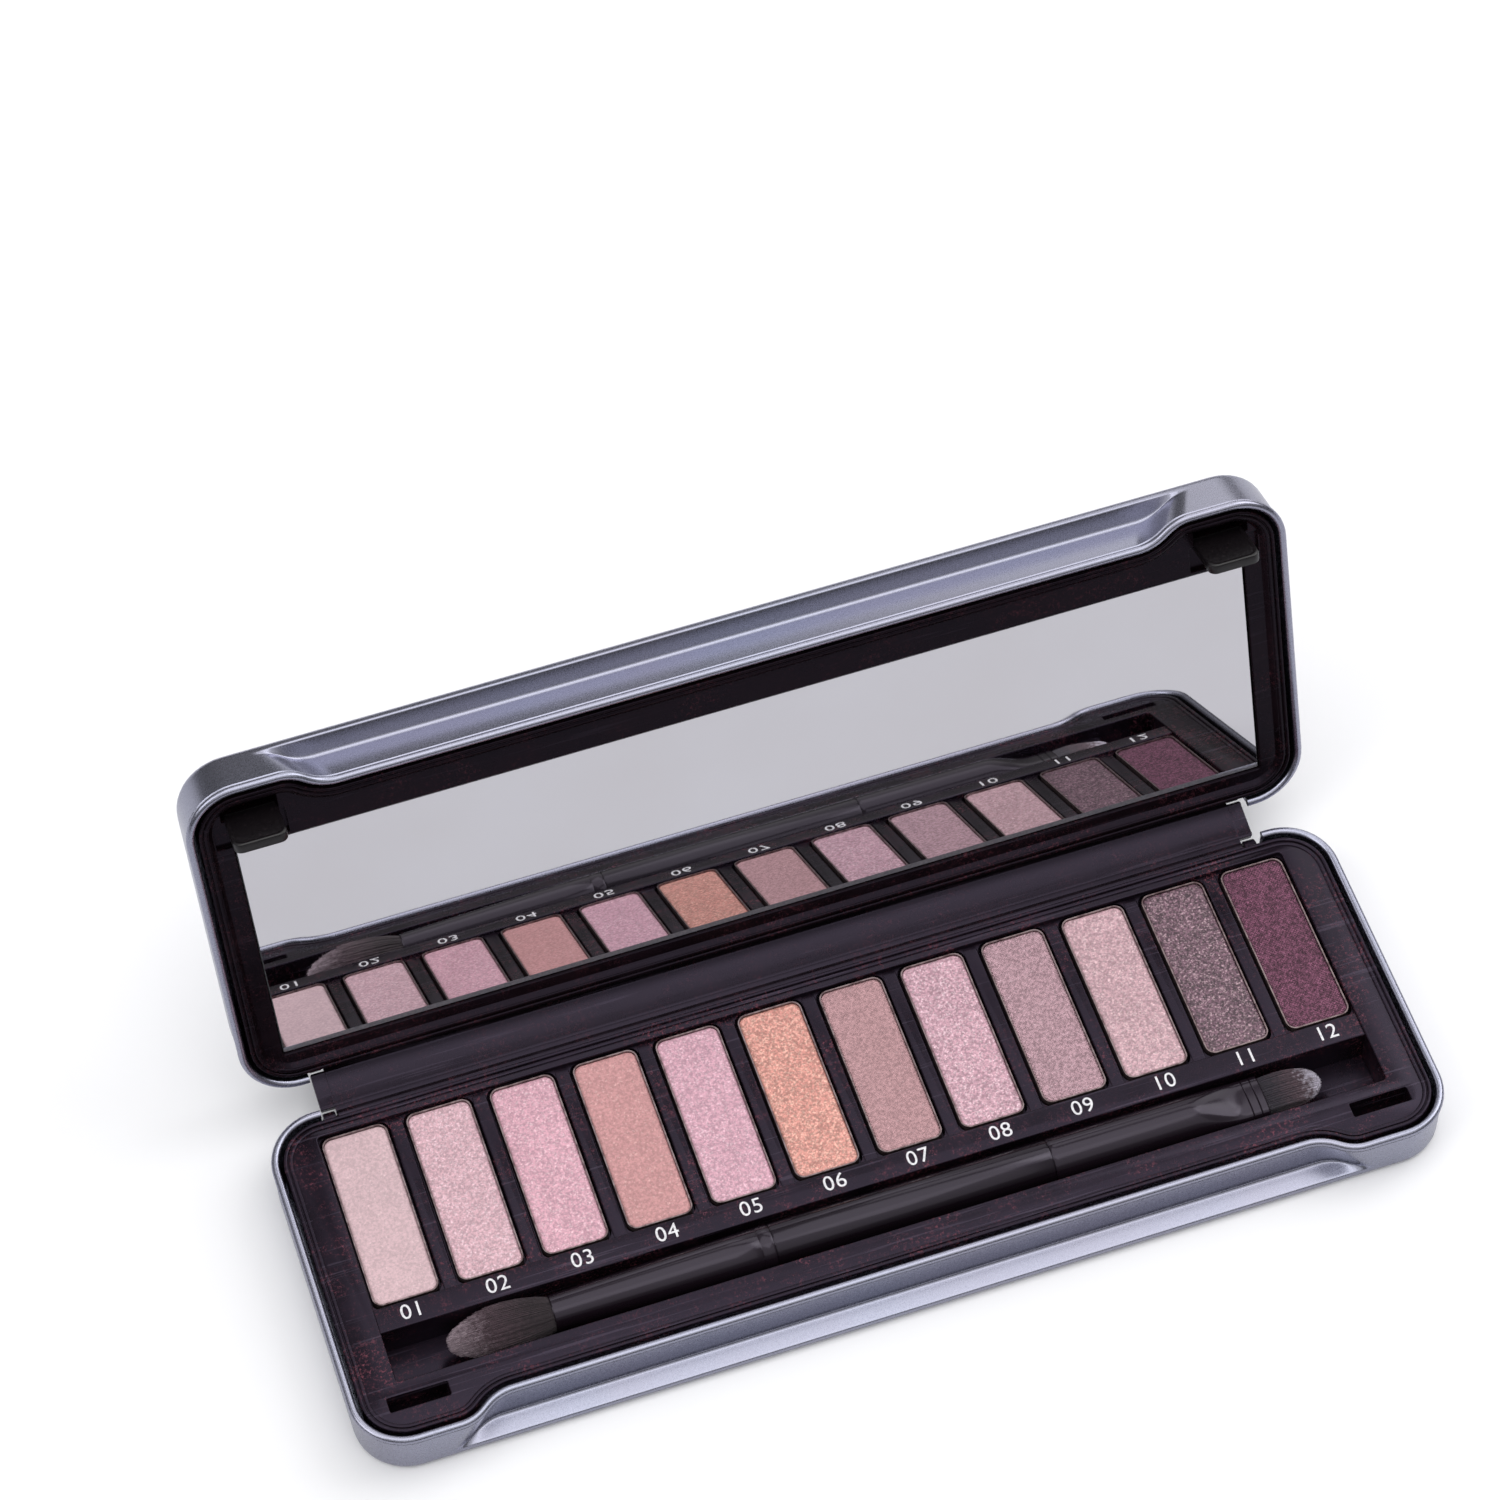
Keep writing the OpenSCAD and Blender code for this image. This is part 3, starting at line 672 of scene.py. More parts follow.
def borderRows(inner):
    # profile of (inset, height) rows: skirt, a half-round bead, a groove, a flatter bead, then the
    # given inner rows
    g, top, r = trayShape["gap"], tinTall, trayShape["beadHalf"]
    rows = [(g + 0.25, trayShape["bottom"]), (g, trayShape["bottom"] + 0.4), (g, top - 0.85)]
    for a in np.linspace(0, 1, 7) * math.pi:
        rows.append((g + r - r * math.cos(a), top - 0.66 + 0.26 * math.sin(a)))
    rows += [(g + 0.76, top - 0.86), (g + 0.86, top - 0.86)]
    for a in np.linspace(0.1, 1, 7) * math.pi:
        rows.append((g + 1.26 - r * math.cos(a), top - 0.74 + 0.16 * math.sin(a)))
    return rows + [(g + 1.66, top - 0.80), (g + 1.76, top - 0.78)] + inner


def holeRows(shell, low, high, corner, top, floor, edge):
    # a pocket's round lip, its walls and its floor; returns the lip's outside loop
    lip = rectLoop(low, high, corner, grow=edge)
    rows = []
    for a in np.linspace(0, math.pi / 2, 5):
        grow = edge * (1 - math.sin(a))
        rows.append(raised(rectLoop(low, high, corner, grow=grow), top - edge * (1 - math.cos(a))))
    rows.append(raised(rectLoop(low, high, corner), floor))
    shell.grid(np.array(rows)[:, ::-1])
    return lip


def makeTray():
    # the border's profile carried round the tin's outline, and a flat land with its pockets left
    # open; inside them are the wells' floor, the bars, the strip and the trough
    t = trayShape
    shell = Shell()
    borders = borderRows([(t["gap"] + 2.1, landZ)])
    loops = [raised(rimLoop(d), z) for d, z in borders]
    shell.grid(np.array(loops), capStart=True)
    outer = rimLoop(borders[-1][0])
    fieldLow = (-t["fieldHalf"], t["troughFront"])
    fieldHigh = (t["fieldHalf"], panBack + t["well"])
    floorZ = landZ - t["troughTall"]
    holes = [holeRows(shell, fieldLow, fieldHigh, 0.7, landZ, floorZ, t["edge"])]
    for s in (-1, 1):
        low = (s * t["slotX"] - t["slotLong"] / 2, t["slotY"] - t["slotWide"] / 2)
        high = (s * t["slotX"] + t["slotLong"] / 2, t["slotY"] + t["slotWide"] / 2)
        holes.append(holeRows(shell, low, high, 0.25, landZ, landZ - t["slotDeep"], t["slotEdge"]))
        shell.plate([rectLoop(low, high, 0.25)], landZ - t["slotDeep"])
        # the catch inside the slot that holds the tab's hem
        roundedBox(shell, (low[0] + 0.05, low[1] - 0.2, landZ - t["catchLow"]),
                   (high[0] - 0.05, low[1] + t["catchOut"], landZ - t["catchHigh"]), 0.12)
    shell.plate([outer] + [h[::-1] for h in holes], landZ)
    # wells' floor, bars between the wells, and the strip in front of them
    wellFloor = panFloor - 0.15
    front, back = panFront - t["well"], panBack + t["well"]
    roundedBox(shell, (-t["fieldHalf"] - 0.1, t["troughBack"] + 0.5, t["floorUnder"]),
               (t["fieldHalf"] + 0.1, back + 0.1, wellFloor), 0.05)
    for k in range(panCount - 1):
        x = (firstPan[0][0] + firstPan[1][0]) / 2 + (k + 0.5) * panPitch
        half = (panPitch - panWide) / 2 - t["well"]
        roundedBox(shell, (x - half, front - 0.4, t["barUnder"]),
                   (x + half, back + 0.2, landZ - t["barDrop"]), 0.32, 0.05)
    roundedBox(shell, (-t["fieldHalf"] - 0.2, t["troughBack"], t["stripUnder"]),
               (t["fieldHalf"] + 0.2, front, landZ - t["stripDrop"]), 0.26, 0.05)
    for k in range(panCount):
        x0 = firstPan[0][0] + k * panPitch - t["well"]
        x1 = x0 + panWide + 2 * t["well"]
        for cx, sx in ((x0, 1), (x1, -1)):
            for cy, sy in ((front, 1), (back, -1)):
                filletBlock(shell, cx, cy, sx, sy, wellFloor - 0.5, landZ - t["barDrop"] - 0.05)
    troughSurface(shell, floorZ)
    for s in (-1, 1):
        hingeLug(shell, s * t["lugX"])
    return shell.make("tray_moulding", sharp=38)


def filletBlock(shell, cx, cy, sx, sy, z0, z1):
    # the concave fill of a well's upright corner: a quarter circle carried up the wall
    r = trayShape["wellRadius"]
    a = np.linspace(0, math.pi / 2, 6)
    arc = np.stack([cx + sx * (r - r * np.sin(a)), cy + sy * (r - r * np.cos(a))], 1)
    loop = np.vstack([[[cx - sx * 0.2, cy - sy * 0.2]], arc])
    if sx * sy > 0:
        loop = loop[::-1]
    shell.grid(np.array([raised(loop, z0), raised(loop, z1)]), capStart=True, capEnd=True)


def troughSurface(shell, floorZ):
    # height over (x, y): across the trough a quarter of an ellipse that rises to the front lip, and
    # along it a smooth step down to a flat finger well at each end
    t = trayShape
    half = t["troughHalf"] + 0.6
    well = t["troughHalf"] - t["fingerWell"]
    end = np.linspace(well - 5, half, 30)
    xs = np.unique(np.r_[-end, np.linspace(-well + 5, well - 5, 12), end])
    s = np.linspace(0, 1, 26)
    ys = t["troughBack"] + 0.02 + s * (t["troughFront"] - t["troughBack"] - 0.04)
    across = np.clip((t["troughY"] - ys) / (t["troughY"] - t["troughFront"]), 0, 1)
    curve = floorZ + (landZ - 0.75 - floorZ) * (1 - np.sqrt(np.clip(1 - (0.985 * across) ** 2.1, 0, 1)))
    blendShare = np.clip((np.abs(xs) - (well - 3.2)) / 3.6, 0, 1)
    blendShare = blendShare * blendShare * (3 - 2 * blendShare)
    z = curve[None, :] * (1 - blendShare[:, None]) + floorZ * blendShare[:, None]
    rows = np.empty((len(xs), len(ys), 3))
    rows[..., 0], rows[..., 1], rows[..., 2] = xs[:, None], ys[None, :], z + 0.02
    shell.grid(rows[:, ::-1], closed=False)


def hingeLug(shell, x):
    # a barrel round the pin and the block that ties it to the moulding
    t = trayShape
    r, half, e = t["lugRadius"], t["lugHalf"], t["lugEdge"]
    profile = [(0, r - e), (e, r), (2 * half - e, r), (2 * half, r - e)]
    turned(shell, profile, x - half, basePin[1], basePin[2], 24)
    roundedBox(shell, (x - half, tinDeep - t["gap"] - 0.6, basePin[2] - r),
               (x + half, basePin[1], basePin[2] + r), 0.1)


dress(makeTray(), "base", [trayBlack], ["tray"])
print("tray made")


cakeShape = {"gap": 0.02, "corner": 1.55, "drop": 0.10, "wave": 0.07, "fade": 1.5, "fallWide": 0.45,
             "fallDeep": 0.22}

shadeLooks = [  # light, dark, flake (a painted glint colour), share of flakes, flake metal, roughness, weave (bump and painted shade), grain contrast
    ("d9babf", "caaeb3", "f0dcdc", 0.03, 0.1, 0.75, 0.0, 0.11),
    ("d9b0ba", "c49fa8", "fbe6ee", 0.30, 0.5, 0.55, 0.0, 0.20),
    ("dca9b8", "c799a7", "fbe6ea", 0.25, 0.5, 0.55, 0.0, 0.19),
    ("ce9798", "be8c8c", "eac6c2", 0.10, 0.3, 0.62, 0.0, 0.14),
    ("d8a7b7", "c497a6", "fae2ea", 0.28, 0.5, 0.55, 0.0, 0.20),
    ("d79489", "c2867c", "ffdcc8", 0.45, 0.8, 0.42, 0.0, 0.28),
    ("c79ca0", "b88f93", "dcbcc0", 0.03, 0.1, 0.75, 0.6, 0.20),
    ("cea1af", "b48c99", "ffeaf0", 0.38, 0.6, 0.48, 0.0, 0.28),
    ("d0a9b3", "b8949e", "ead0d8", 0.10, 0.3, 0.62, 0.8, 0.28),
    ("caa3ac", "b39097", "f6e0e2", 0.32, 0.6, 0.50, 0.0, 0.24),
    ("755664", "462f3b", "d2b6bc", 0.35, 0.6, 0.45, 0.0, 0.55),
    ("a0657f", "532d42", "b07f96", 0.04, 0.1, 0.70, 1.0, 0.5)]


def squareToRound(p, q):
    # elliptical map of a unit square's corner onto a quarter disc
    return p * np.sqrt(1 - q * q / 2), q * np.sqrt(1 - p * p / 2)


def powderCake(number):
    # height over (x, y): the pressed level, plus four long sine waves that fade at the border, less
    # a quadratic fall over the last half millimetre; the grid's corners are pulled onto arcs
    c = cakeShape
    low, high = boxMm(f"powder_{number:02d}")
    cx, cy = (low[:2] + high[:2]) / 2
    ax, ay = (high[:2] - low[:2]) / 2 - c["gap"]
    r = c["corner"]
    u = np.r_[-1.0, -0.985, np.linspace(-0.955, 0.955, 34), 0.985, 1.0] * ax
    v = np.r_[-1.0, -0.995, np.linspace(-0.982, 0.982, 92), 0.995, 1.0] * ay
    x, y = np.meshgrid(u, v, indexing="ij")
    p = np.clip((np.abs(x) - (ax - r)) / r, 0, 1)
    q = np.clip((np.abs(y) - (ay - r)) / r, 0, 1)
    pr, qr = squareToRound(p, q)
    inCorner = (p > 0) & (q > 0)
    x = np.where(inCorner, np.sign(x) * (ax - r + r * pr), x)
    y = np.where(inCorner, np.sign(y) * (ay - r + r * qr), y)
    edge = np.minimum(ax - np.abs(x), ay - np.abs(y))
    cornerEdge = r - np.hypot(np.abs(x) - (ax - r), np.abs(y) - (ay - r))
    edge = np.where(inCorner, cornerEdge, edge)
    phase = rng.uniform(0, 2 * math.pi, 8)
    turn = rng.uniform(0.15, 0.75, 8)
    waves = sum(np.sin(turn[k] * x + turn[-1 - k] * 0.6 * y + phase[k]) for k in range(4)) / 4
    fall = np.clip(edge / c["fallWide"], 0, 1)
    z = high[2] - c["drop"] + c["wave"] * waves * np.clip(edge / c["fade"], 0, 1)
    z = z - c["fallDeep"] * (1 - fall) ** 2
    rows = np.stack([x + cx, y + cy, z], -1)
    shell = Shell()
    shell.grid(rows, closed=False)
    # side wall and base close the cake
    ring = np.concatenate([rows[:, 0], rows[-1, 1:], rows[-2::-1, -1], rows[0, -2:0:-1]])
    foot = ring.copy()
    foot[:, 2] = low[2]
    shell.grid(np.array([foot, ring]), capStart=True)
    return shell.make(f"powder_cake_{number:02d}", sharp=50)


for number in range(1, panCount + 1):
    name = f"powder_{number:02d}"
    finish = powderFinish(f"pressed_{name}", *shadeLooks[number - 1])
    dress(powderCake(number), "base", [finish], [name])
    dressCad(f"pan_{number:02d}", panMetal)
print("powders made")


numberLook = {"tall": 3.0, "gap": 1.0, "thick": 0.03, "fontSize": 1.38, "spacing": 1.08}


def shadeNumber(number):
    # two figures as a thin raised print, centred on the pan and standing on the strip before it
    curve = bpy.data.curves.new(f"number_{number:02d}_curve", "FONT")
    curve.body = f"{number:02d}"
    curve.size = numberLook["tall"] * mm * numberLook["fontSize"]
    curve.align_x = "CENTER"
    curve.extrude = numberLook["thick"] * mm / 2
    curve.resolution_u = 6
    curve.space_character = numberLook["spacing"]
    letter = newObject("number_curve", curve)
    graph = bpy.context.evaluated_depsgraph_get()
    mesh = bpy.data.meshes.new_from_object(letter.evaluated_get(graph))
    bpy.data.objects.remove(letter)
    middle = np.mean(boxMm(f"pan_{number:02d}"), 0)[0]
    z = landZ - trayShape["stripDrop"] + numberLook["thick"] / 2
    y = panFront - numberLook["gap"] - numberLook["tall"]
    mesh.transform(Matrix.Translation(Vector((middle, y, z)) * mm))
    return newObject(f"shade_number_{number:02d}", mesh)


for number in range(1, panCount + 1):
    dress(shadeNumber(number), "base", [printInk])
print("numbers printed")


mirrorLow, mirrorHigh = lidBox("mirror")
tabLow, tabHigh = lidBox("latch_tab_right")
frameShape = {"borderDrop": 1.6, "mirrorGap": 0.2, "edge": 0.2, "pocketLow": (83.0, -26.0),
              "pocketHigh": (96.0, -20.7), "pocketDeep": 0.9, "slotFar": -29.4, "slotDeep": 4.5}
borderZ = tinTall - frameShape["borderDrop"]


def makeLidFrame():
    # the tray's border profile with a step down to a flat border, which the mirror's seat and the
    # pockets by the tabs are left out of
    f = frameShape
    shell = Shell()
    g = trayShape["gap"]
    borders = borderRows([(g + 2.0, tinTall - 1.0), (g + 2.25, tinTall - 1.3), (g + 2.55, borderZ)])
    shell.grid(np.array([raised(rimLoop(d), z) for d, z in borders]), capStart=True)
    outer = rimLoop(borders[-1][0])
    seatLow, seatHigh = mirrorLow[:2] - f["mirrorGap"], mirrorHigh[:2] + f["mirrorGap"]
    holes = [holeRows(shell, seatLow, seatHigh, 0.4, borderZ, mirrorLow[2], f["edge"])]
    shell.plate([rectLoop(seatLow, seatHigh, 0.4)], mirrorLow[2] - 0.02)
    for s in (-1, 1):
        # a shallow pocket on the mirror's side of the tab and a deep slot on its outer side
        pocket = sorted((s * f["pocketLow"][0], s * f["pocketHigh"][0]))
        slot = sorted((s * tabLow[0], s * (tabHigh[0] + 0.5)))
        pocketY = (f["pocketLow"][1] + 0.1, f["pocketHigh"][1])
        slotY = (f["slotFar"], f["pocketLow"][1] - 0.3)
        for xs, ys, deep in ((pocket, pocketY, f["pocketDeep"]), (slot, slotY, f["slotDeep"])):
            low, high = (xs[0], ys[0]), (xs[1], ys[1])
            holes.append(holeRows(shell, low, high, 0.3, borderZ, borderZ - deep, 0.12))
            shell.plate([rectLoop(low, high, 0.3)], borderZ - deep)
    shell.plate([outer] + [h[::-1] for h in holes], borderZ)
    for s in (-1, 1):
        hingeLug(shell, s * trayShape["lugX"])
    return shell.make("lid_frame_moulding", place=onLid, flip=True, sharp=38)


mirrorShape = {"bevelWide": 1.25, "bevelSide": 0.2, "bevelDrop": 0.32}


def makeMirror():
    # a flat face with a ground edge, widest along the hinge; the ground edge is the second material
    f = mirrorShape
    low, high = mirrorLow, mirrorHigh
    side = f["bevelSide"]
    rows = [raised(rectLoop(low[:2], high[:2], 0.3), low[2]),
            raised(rectLoop(low[:2], high[:2], 0.3), high[2] - f["bevelDrop"]),
            raised(rectLoop(low[:2] + side, high[:2] - (side, f["bevelWide"]), 0.05), high[2])]
    shell = Shell()
    shell.grid(np.array(rows), capStart=True, capEnd=True)
    return shell.make("mirror_glass", place=onLid, flip=True, sharp=5)


def paintMirror(piece):
    # faces in the plane of the reflecting face keep the first material
    normal = onLid(np.array([[0, 0, 1.0]])) - onLid(np.array([[0, 0, 0.0]]))
    normal = Vector(normal[0]).normalized()
    for face in piece.data.polygons:
        face.material_index = 0 if face.normal.dot(normal) > 0.9999 else 1


tabShape = {"tipRadius": 1.5, "hemDeep": 0.16}


def makeTab(side):
    # an upright flap: an outline with round tip corners carried through its thickness, first as a
    # hem that stands proud round the tip, then over round edges
    low, high = tabLow.copy(), tabHigh.copy()
    if side < 0:
        low[0], high[0] = -tabHigh[0], -tabLow[0]
    tipR, hem = tabShape["tipRadius"], tabShape["hemDeep"]
    outline = roundedLoop([(high[0], low[2], 0.05), (high[0], high[2], tipR), (low[0], high[2], tipR),
                           (low[0], low[2], 0.05)], 8, spacing=0.8)
    centre = np.array([(low[0] + high[0]) / 2, low[2]])
    rows = []
    front = [(hem, 0.9), (hem, 0.75), (0.0, 0.5), (0.0, 0.25), (0.15, 0.06), (0.4, 0.0)]
    back = [(-0.4, 0.0), (-0.15, 0.06), (0.0, 0.3)]
    for y, inset in [(low[1] + a, b) for a, b in front] + [(high[1] + a, b) for a, b in back]:
        loop = outline.copy()
        loop[:, 0] = centre[0] + (outline[:, 0] - centre[0]) * (1 - inset / (high[0] - centre[0]))
        rise = (outline[:, 1] - low[2]) / (high[2] - low[2])
        loop[:, 1] = outline[:, 1] - inset * rise
        rows.append(np.stack([loop[:, 0], np.full(len(loop), y), loop[:, 1]], 1))
    shell = Shell()
    shell.grid(np.array(rows), capStart=True, capEnd=True)
    name = "left" if side < 0 else "right"
    return shell.make(f"latch_tab_{name}_rubber", place=onLid, flip=True, sharp=35)


dress(makeLidFrame(), "lid", [lidShadedBlack], ["lid_frame"])
mirrorPiece = dress(makeMirror(), "lid", [mirrorFace, mirrorEdge], ["mirror"])
paintMirror(mirrorPiece)
for side, label in ((-1, "left"), (1, "right")):
    dress(makeTab(side), "lid", [tabRubber], [f"latch_tab_{label}"])
for name in ("lid_tape", "mirror_tape", "base_tape"):
    dressCad(name, tapeBacking)
dressCad("pan_glue", clearGlue)
for name in ("base_hinge_pin", "lid_hinge_pin"):
    dressCad(name, pinSteel)
print("lid made")


spineShape = {"half": 89.2, "barrelHalf": 86.6, "plate": 0.75, "knuckle": 1.5, "bevel": 0.2, "rib": 0.12,
              "tongueCut": 2.0, "tongueThin": 0.9}


def makeSpine():
    # two barrels turned about the pins and a ribbed plate between them
    s = spineShape
    y, z0, z1 = basePin[1], basePin[2], basePin[2] + pinGap
    shell = Shell()
    # the plate's section, with a rib line by each barrel, is carried along the hinge
    thin, rib = -s["plate"], -s["plate"] - s["rib"]
    lower = [(thin, z0), (thin, z0 + 1.9), (rib, z0 + 2.1), (rib, z0 + 2.5), (thin, z0 + 2.7)]
    upper = [(y0, z0 + z1 - z) for y0, z in lower[::-1]]
    outline = np.array(lower + upper + [(-thin, z1), (-thin, z0)])[::-1]
    # the plate runs between the barrels' ends, and a narrower, thinner tongue carries on at each end
    h, end, b = s["barrelHalf"], s["half"], s["bevel"]
    tongue = s["tongueCut"], s["tongueThin"]
    for x0, x1, (cut, share) in ((-h, h, (0.0, 1.0)), (-end, 1 - h, tongue), (h - 1, end, tongue)):
        band = outline.copy()
        band[:, 0] *= share
        band[:, 1] = np.clip(band[:, 1], z0 + cut, z1 - cut)
        centre = band.mean(0)
        rows = []
        for x, inset in ((x0, b), (x0 + b, 0), (x1 - b, 0), (x1, b)):
            ring = centre + (band - centre) * (1 - inset / 4)
            rows.append(np.c_[np.full(len(ring), x), y + ring[:, 0], ring[:, 1]])
        shell.grid(np.array(rows), capStart=True, capEnd=True)
    r = s["knuckle"]
    for z in (z0, z1):
        turned(shell, [(0, r - b), (b, r), (2 * h - b, r), (2 * h, r - b)], -h, y, z, 32)
    return shell.make("spine_plate", place=onSpine, sharp=35)


dress(makeSpine(), "spine", [spineBlack], ["spine"])
print("spine made")


handleLow, handleHigh = boxMm("brush_handle")
roundLow, roundHigh = boxMm("round_ferrule")
flatLow, flatHigh = boxMm("flat_ferrule")
brushY = (handleLow[1] + handleHigh[1]) / 2
brushZ = (handleLow[2] + handleHigh[2]) / 2
handleR = (handleHigh[2] - handleLow[2]) / 2
brushShape = {"spigot": 10.0, "mouth": 3.3, "crimpLong": 4.2, "crimpRun": 10.0, "crimpThick": 3.4,
              "mouthWide": 3.5, "mouthTall": 1.15}


def makeHandle():
    # a lathe shape: straight rod with small rounds where the ferrules meet it
    b = brushShape
    x0, x1 = handleLow[0] + b["spigot"], handleHigh[0] - b["spigot"]
    long = x1 - x0
    r = handleR
    profile = [(-6, r - 0.7), (0.05, r - 0.7), (0.05, r - 0.12), (0.35, r - 0.01), (long * 0.5, r),
               (long - 0.35, r - 0.01), (long - 0.05, r - 0.12), (long - 0.05, r - 0.7),
               (long + 6, r - 0.7)]
    shell = Shell()
    turned(shell, profile, x0, brushY, brushZ, 72)
    return shell.make("handle_rod", sharp=45)


def makeRoundFerrule():
    # a lathe shape: thin rolled mouth, a swelling cone, then a groove and the joint to the handle
    b = brushShape
    long = roundHigh[0] - roundLow[0]
    r = handleR
    m = b["mouth"]
    profile = [(0.9, m - 0.45), (0.02, m - 0.40), (0.0, m - 0.12), (0.18, m),
               (long * 0.55, m + (r - m) * 0.62), (long * 0.80, r - 0.14), (long - 2.6, r - 0.02),
               (long - 2.45, r - 0.10), (long - 2.3, r - 0.02), (long - 0.35, r),
               (long - 0.05, r - 0.10), (long - 0.05, r - 0.8)]
    shell = Shell()
    turned(shell, profile, roundLow[0], brushY, brushZ, 72)
    return shell.make("round_ferrule_tube", sharp=30)


def makeFlatFerrule():
    # the tube's section goes from a circle to a flat oval towards the crimp, by a smooth step
    b = brushShape
    long = flatHigh[0] - flatLow[0]
    r = handleR
    neck = long - b["crimpLong"] - b["crimpRun"]
    beads = [3.2, 3.05, 2.9, 1.6, 1.45, 1.3, 0.2, 0.0, 0.9]
    xs = np.r_[0.05, 0.35, np.linspace(1, neck, 4), np.linspace(neck + 1, long - b["crimpLong"], 12),
               long - np.array(beads)]
    squeeze = np.clip((xs - neck) / b["crimpRun"], 0, 1)
    squeeze = squeeze * squeeze * (3 - 2 * squeeze)
    height = r + (b["crimpThick"] / 2 - r) * squeeze
    wide = np.full(len(xs), r)
    # both ends are rounded off, two grooves run round the crimp, and the last row is inside the mouth
    wide[[0, -2]] -= 0.12
    height[[0, -2]] -= 0.12
    wide[[-8, -5]] -= 0.10
    height[[-8, -5]] -= 0.14
    wide[-1], height[-1] = b["mouthWide"], b["mouthTall"]
    sides = 72
    angle = 2 * math.pi * np.arange(sides) / sides
    power = 1 - 0.35 * squeeze[:, None]   # towards the crimp the oval grows squarer
    c, s = np.cos(angle)[None, :], np.sin(angle)[None, :]
    rows = np.empty((len(xs), sides, 3))
    rows[..., 0] = flatLow[0] + xs[:, None]
    rows[..., 1] = brushY + wide[:, None] * np.sign(c) * np.abs(c) ** power
    rows[..., 2] = brushZ + height[:, None] * np.sign(s) * np.abs(s) ** power
    shell = Shell()
    shell.grid(rows, capStart=True, capEnd=True)
    return shell.make("flat_ferrule_tube", sharp=30)


def hairTufts(name, roots, tips, bend, thick, core):
    # each filament is a three-sided tapered tube on a line from its root to its tip, bent sideways
    # by a parabola
    count, rings = len(roots), 5
    t = np.linspace(0, 1, rings)[None, :, None]
    line = roots[:, None] * (1 - t) + tips[:, None] * t + bend[:, None] * 4 * t * (1 - t)
    radius = (thick * np.array([1.0, 1.0, 0.95, 0.8, 0.35]))[None, :, None, None]
    angle = 2 * math.pi * np.arange(3) / 3
    ring = np.stack([np.zeros(3), np.cos(angle), np.sin(angle)], 1)[None, None]
    points = line[:, :, None, :] + radius * ring
    base = (np.arange(count) * rings * 3)[:, None, None, None]
    i = (np.arange(rings - 1) * 3)[None, :, None, None]
    j = np.arange(3)[None, None, :, None]
    k = (j + 1) % 3
    corners = [base + i + j, base + i + k, base + i + 3 + k, base + i + 3 + j]
    quads = np.concatenate(corners, -1).reshape(-1, 4)
    tubes = (np.arange(count) * rings * 3)[:, None]
    shell = Shell()
    shell.add(points, quads)
    shell.faces += [tubes + [[2, 1, 0]], tubes + (rings - 1) * 3 + [[0, 1, 2]]]
    core(shell)
    return shell.make(name, sharp=60, weld=0)


hairLook = {"roundCount": 2600, "flatCount": 2200, "roundThick": 0.055, "flatThick": 0.045,
            "roundRoot": 2.75, "flatRoot": (3.35, 1.05), "flatTip": (3.45, 0.75), "flatCore": (3.0, 0.9),
            "roundCore": [(-16.5, 0.8), (-15, 2.3), (-12, 3.3), (-8, 3.5), (-4, 3.1), (0, 2.7), (1, 2.6)]}
roundHeadLow, roundHeadHigh = boxMm("round_bristles")
flatHeadHigh = boxMm("flat_bristles")[1]


def makeRoundHead():
    # roots fill a disc, tips fill a dome: the further out a filament starts, the shorter it reaches
    h = hairLook
    x0 = roundLow[0]
    reach = x0 - roundHeadLow[0]
    full = (roundHeadHigh[2] - roundHeadLow[2]) / 2
    share = np.sqrt(rng.uniform(0, 1, h["roundCount"]))
    angle = rng.uniform(0, 2 * math.pi, h["roundCount"])
    around = np.stack([np.zeros_like(angle), np.cos(angle), np.sin(angle)], 1)
    centre = np.array([x0, brushY, brushZ])
    roots = centre + around * (share * h["roundRoot"])[:, None] + [1.0, 0, 0]
    far = reach * (0.995 - 0.40 * share ** 2.4) - rng.uniform(0, 0.7, h["roundCount"])
    out = full * share ** 0.9 * (0.93 + 0.05 * rng.uniform(-1, 1, h["roundCount"]))
    tips = centre + around * out[:, None] - np.outer(far, [1, 0, 0])
    bend = around * (0.55 * share + 0.15 * rng.uniform(-1, 1, h["roundCount"]))[:, None]

    def core(shell):
        turned(shell, h["roundCore"], x0, brushY, brushZ, 32)
    return hairTufts("round_head_fibres", roots, tips, bend, h["roundThick"], core)


def makeFlatHead():
    # roots fill a flat oval, and the tips make a tongue with a half-round end, thickest in its middle
    h = hairLook
    x0 = flatHigh[0]
    reach = flatHeadHigh[0] - x0
    n = h["flatCount"]
    u = rng.uniform(-1, 1, n)
    v = rng.uniform(-1, 1, n)
    rootWide, rootTall = h["flatRoot"]
    tipWide, tipTall = h["flatTip"]
    coreWide, coreTall = h["flatCore"]
    oval = rootTall * v * np.sqrt(1 - 0.5 * u * u)
    roots = np.stack([np.full(n, x0 - 0.8), brushY + rootWide * u, brushZ + oval], 1)
    far = reach * (0.62 + 0.37 * np.sqrt(np.clip(1 - u * u, 0, 1)))
    far = far - rng.uniform(0, 0.6, n) - 0.5 * np.abs(v)
    wide = tipWide * u * (0.96 + 0.03 * rng.uniform(-1, 1, n))
    tips = np.stack([x0 + far, brushY + wide, brushZ + tipTall * v], 1)
    bend = np.stack([np.zeros(n), 0.10 * u, 0.45 * v], 1)

    def core(shell):
        roundedBox(shell, (x0 - 1, brushY - coreWide, brushZ - coreTall),
                   (x0 + reach * 0.62, brushY + coreWide, brushZ + coreTall), 0.4, 1.2)
    return hairTufts("flat_head_fibres", roots, tips, bend, h["flatThick"], core)


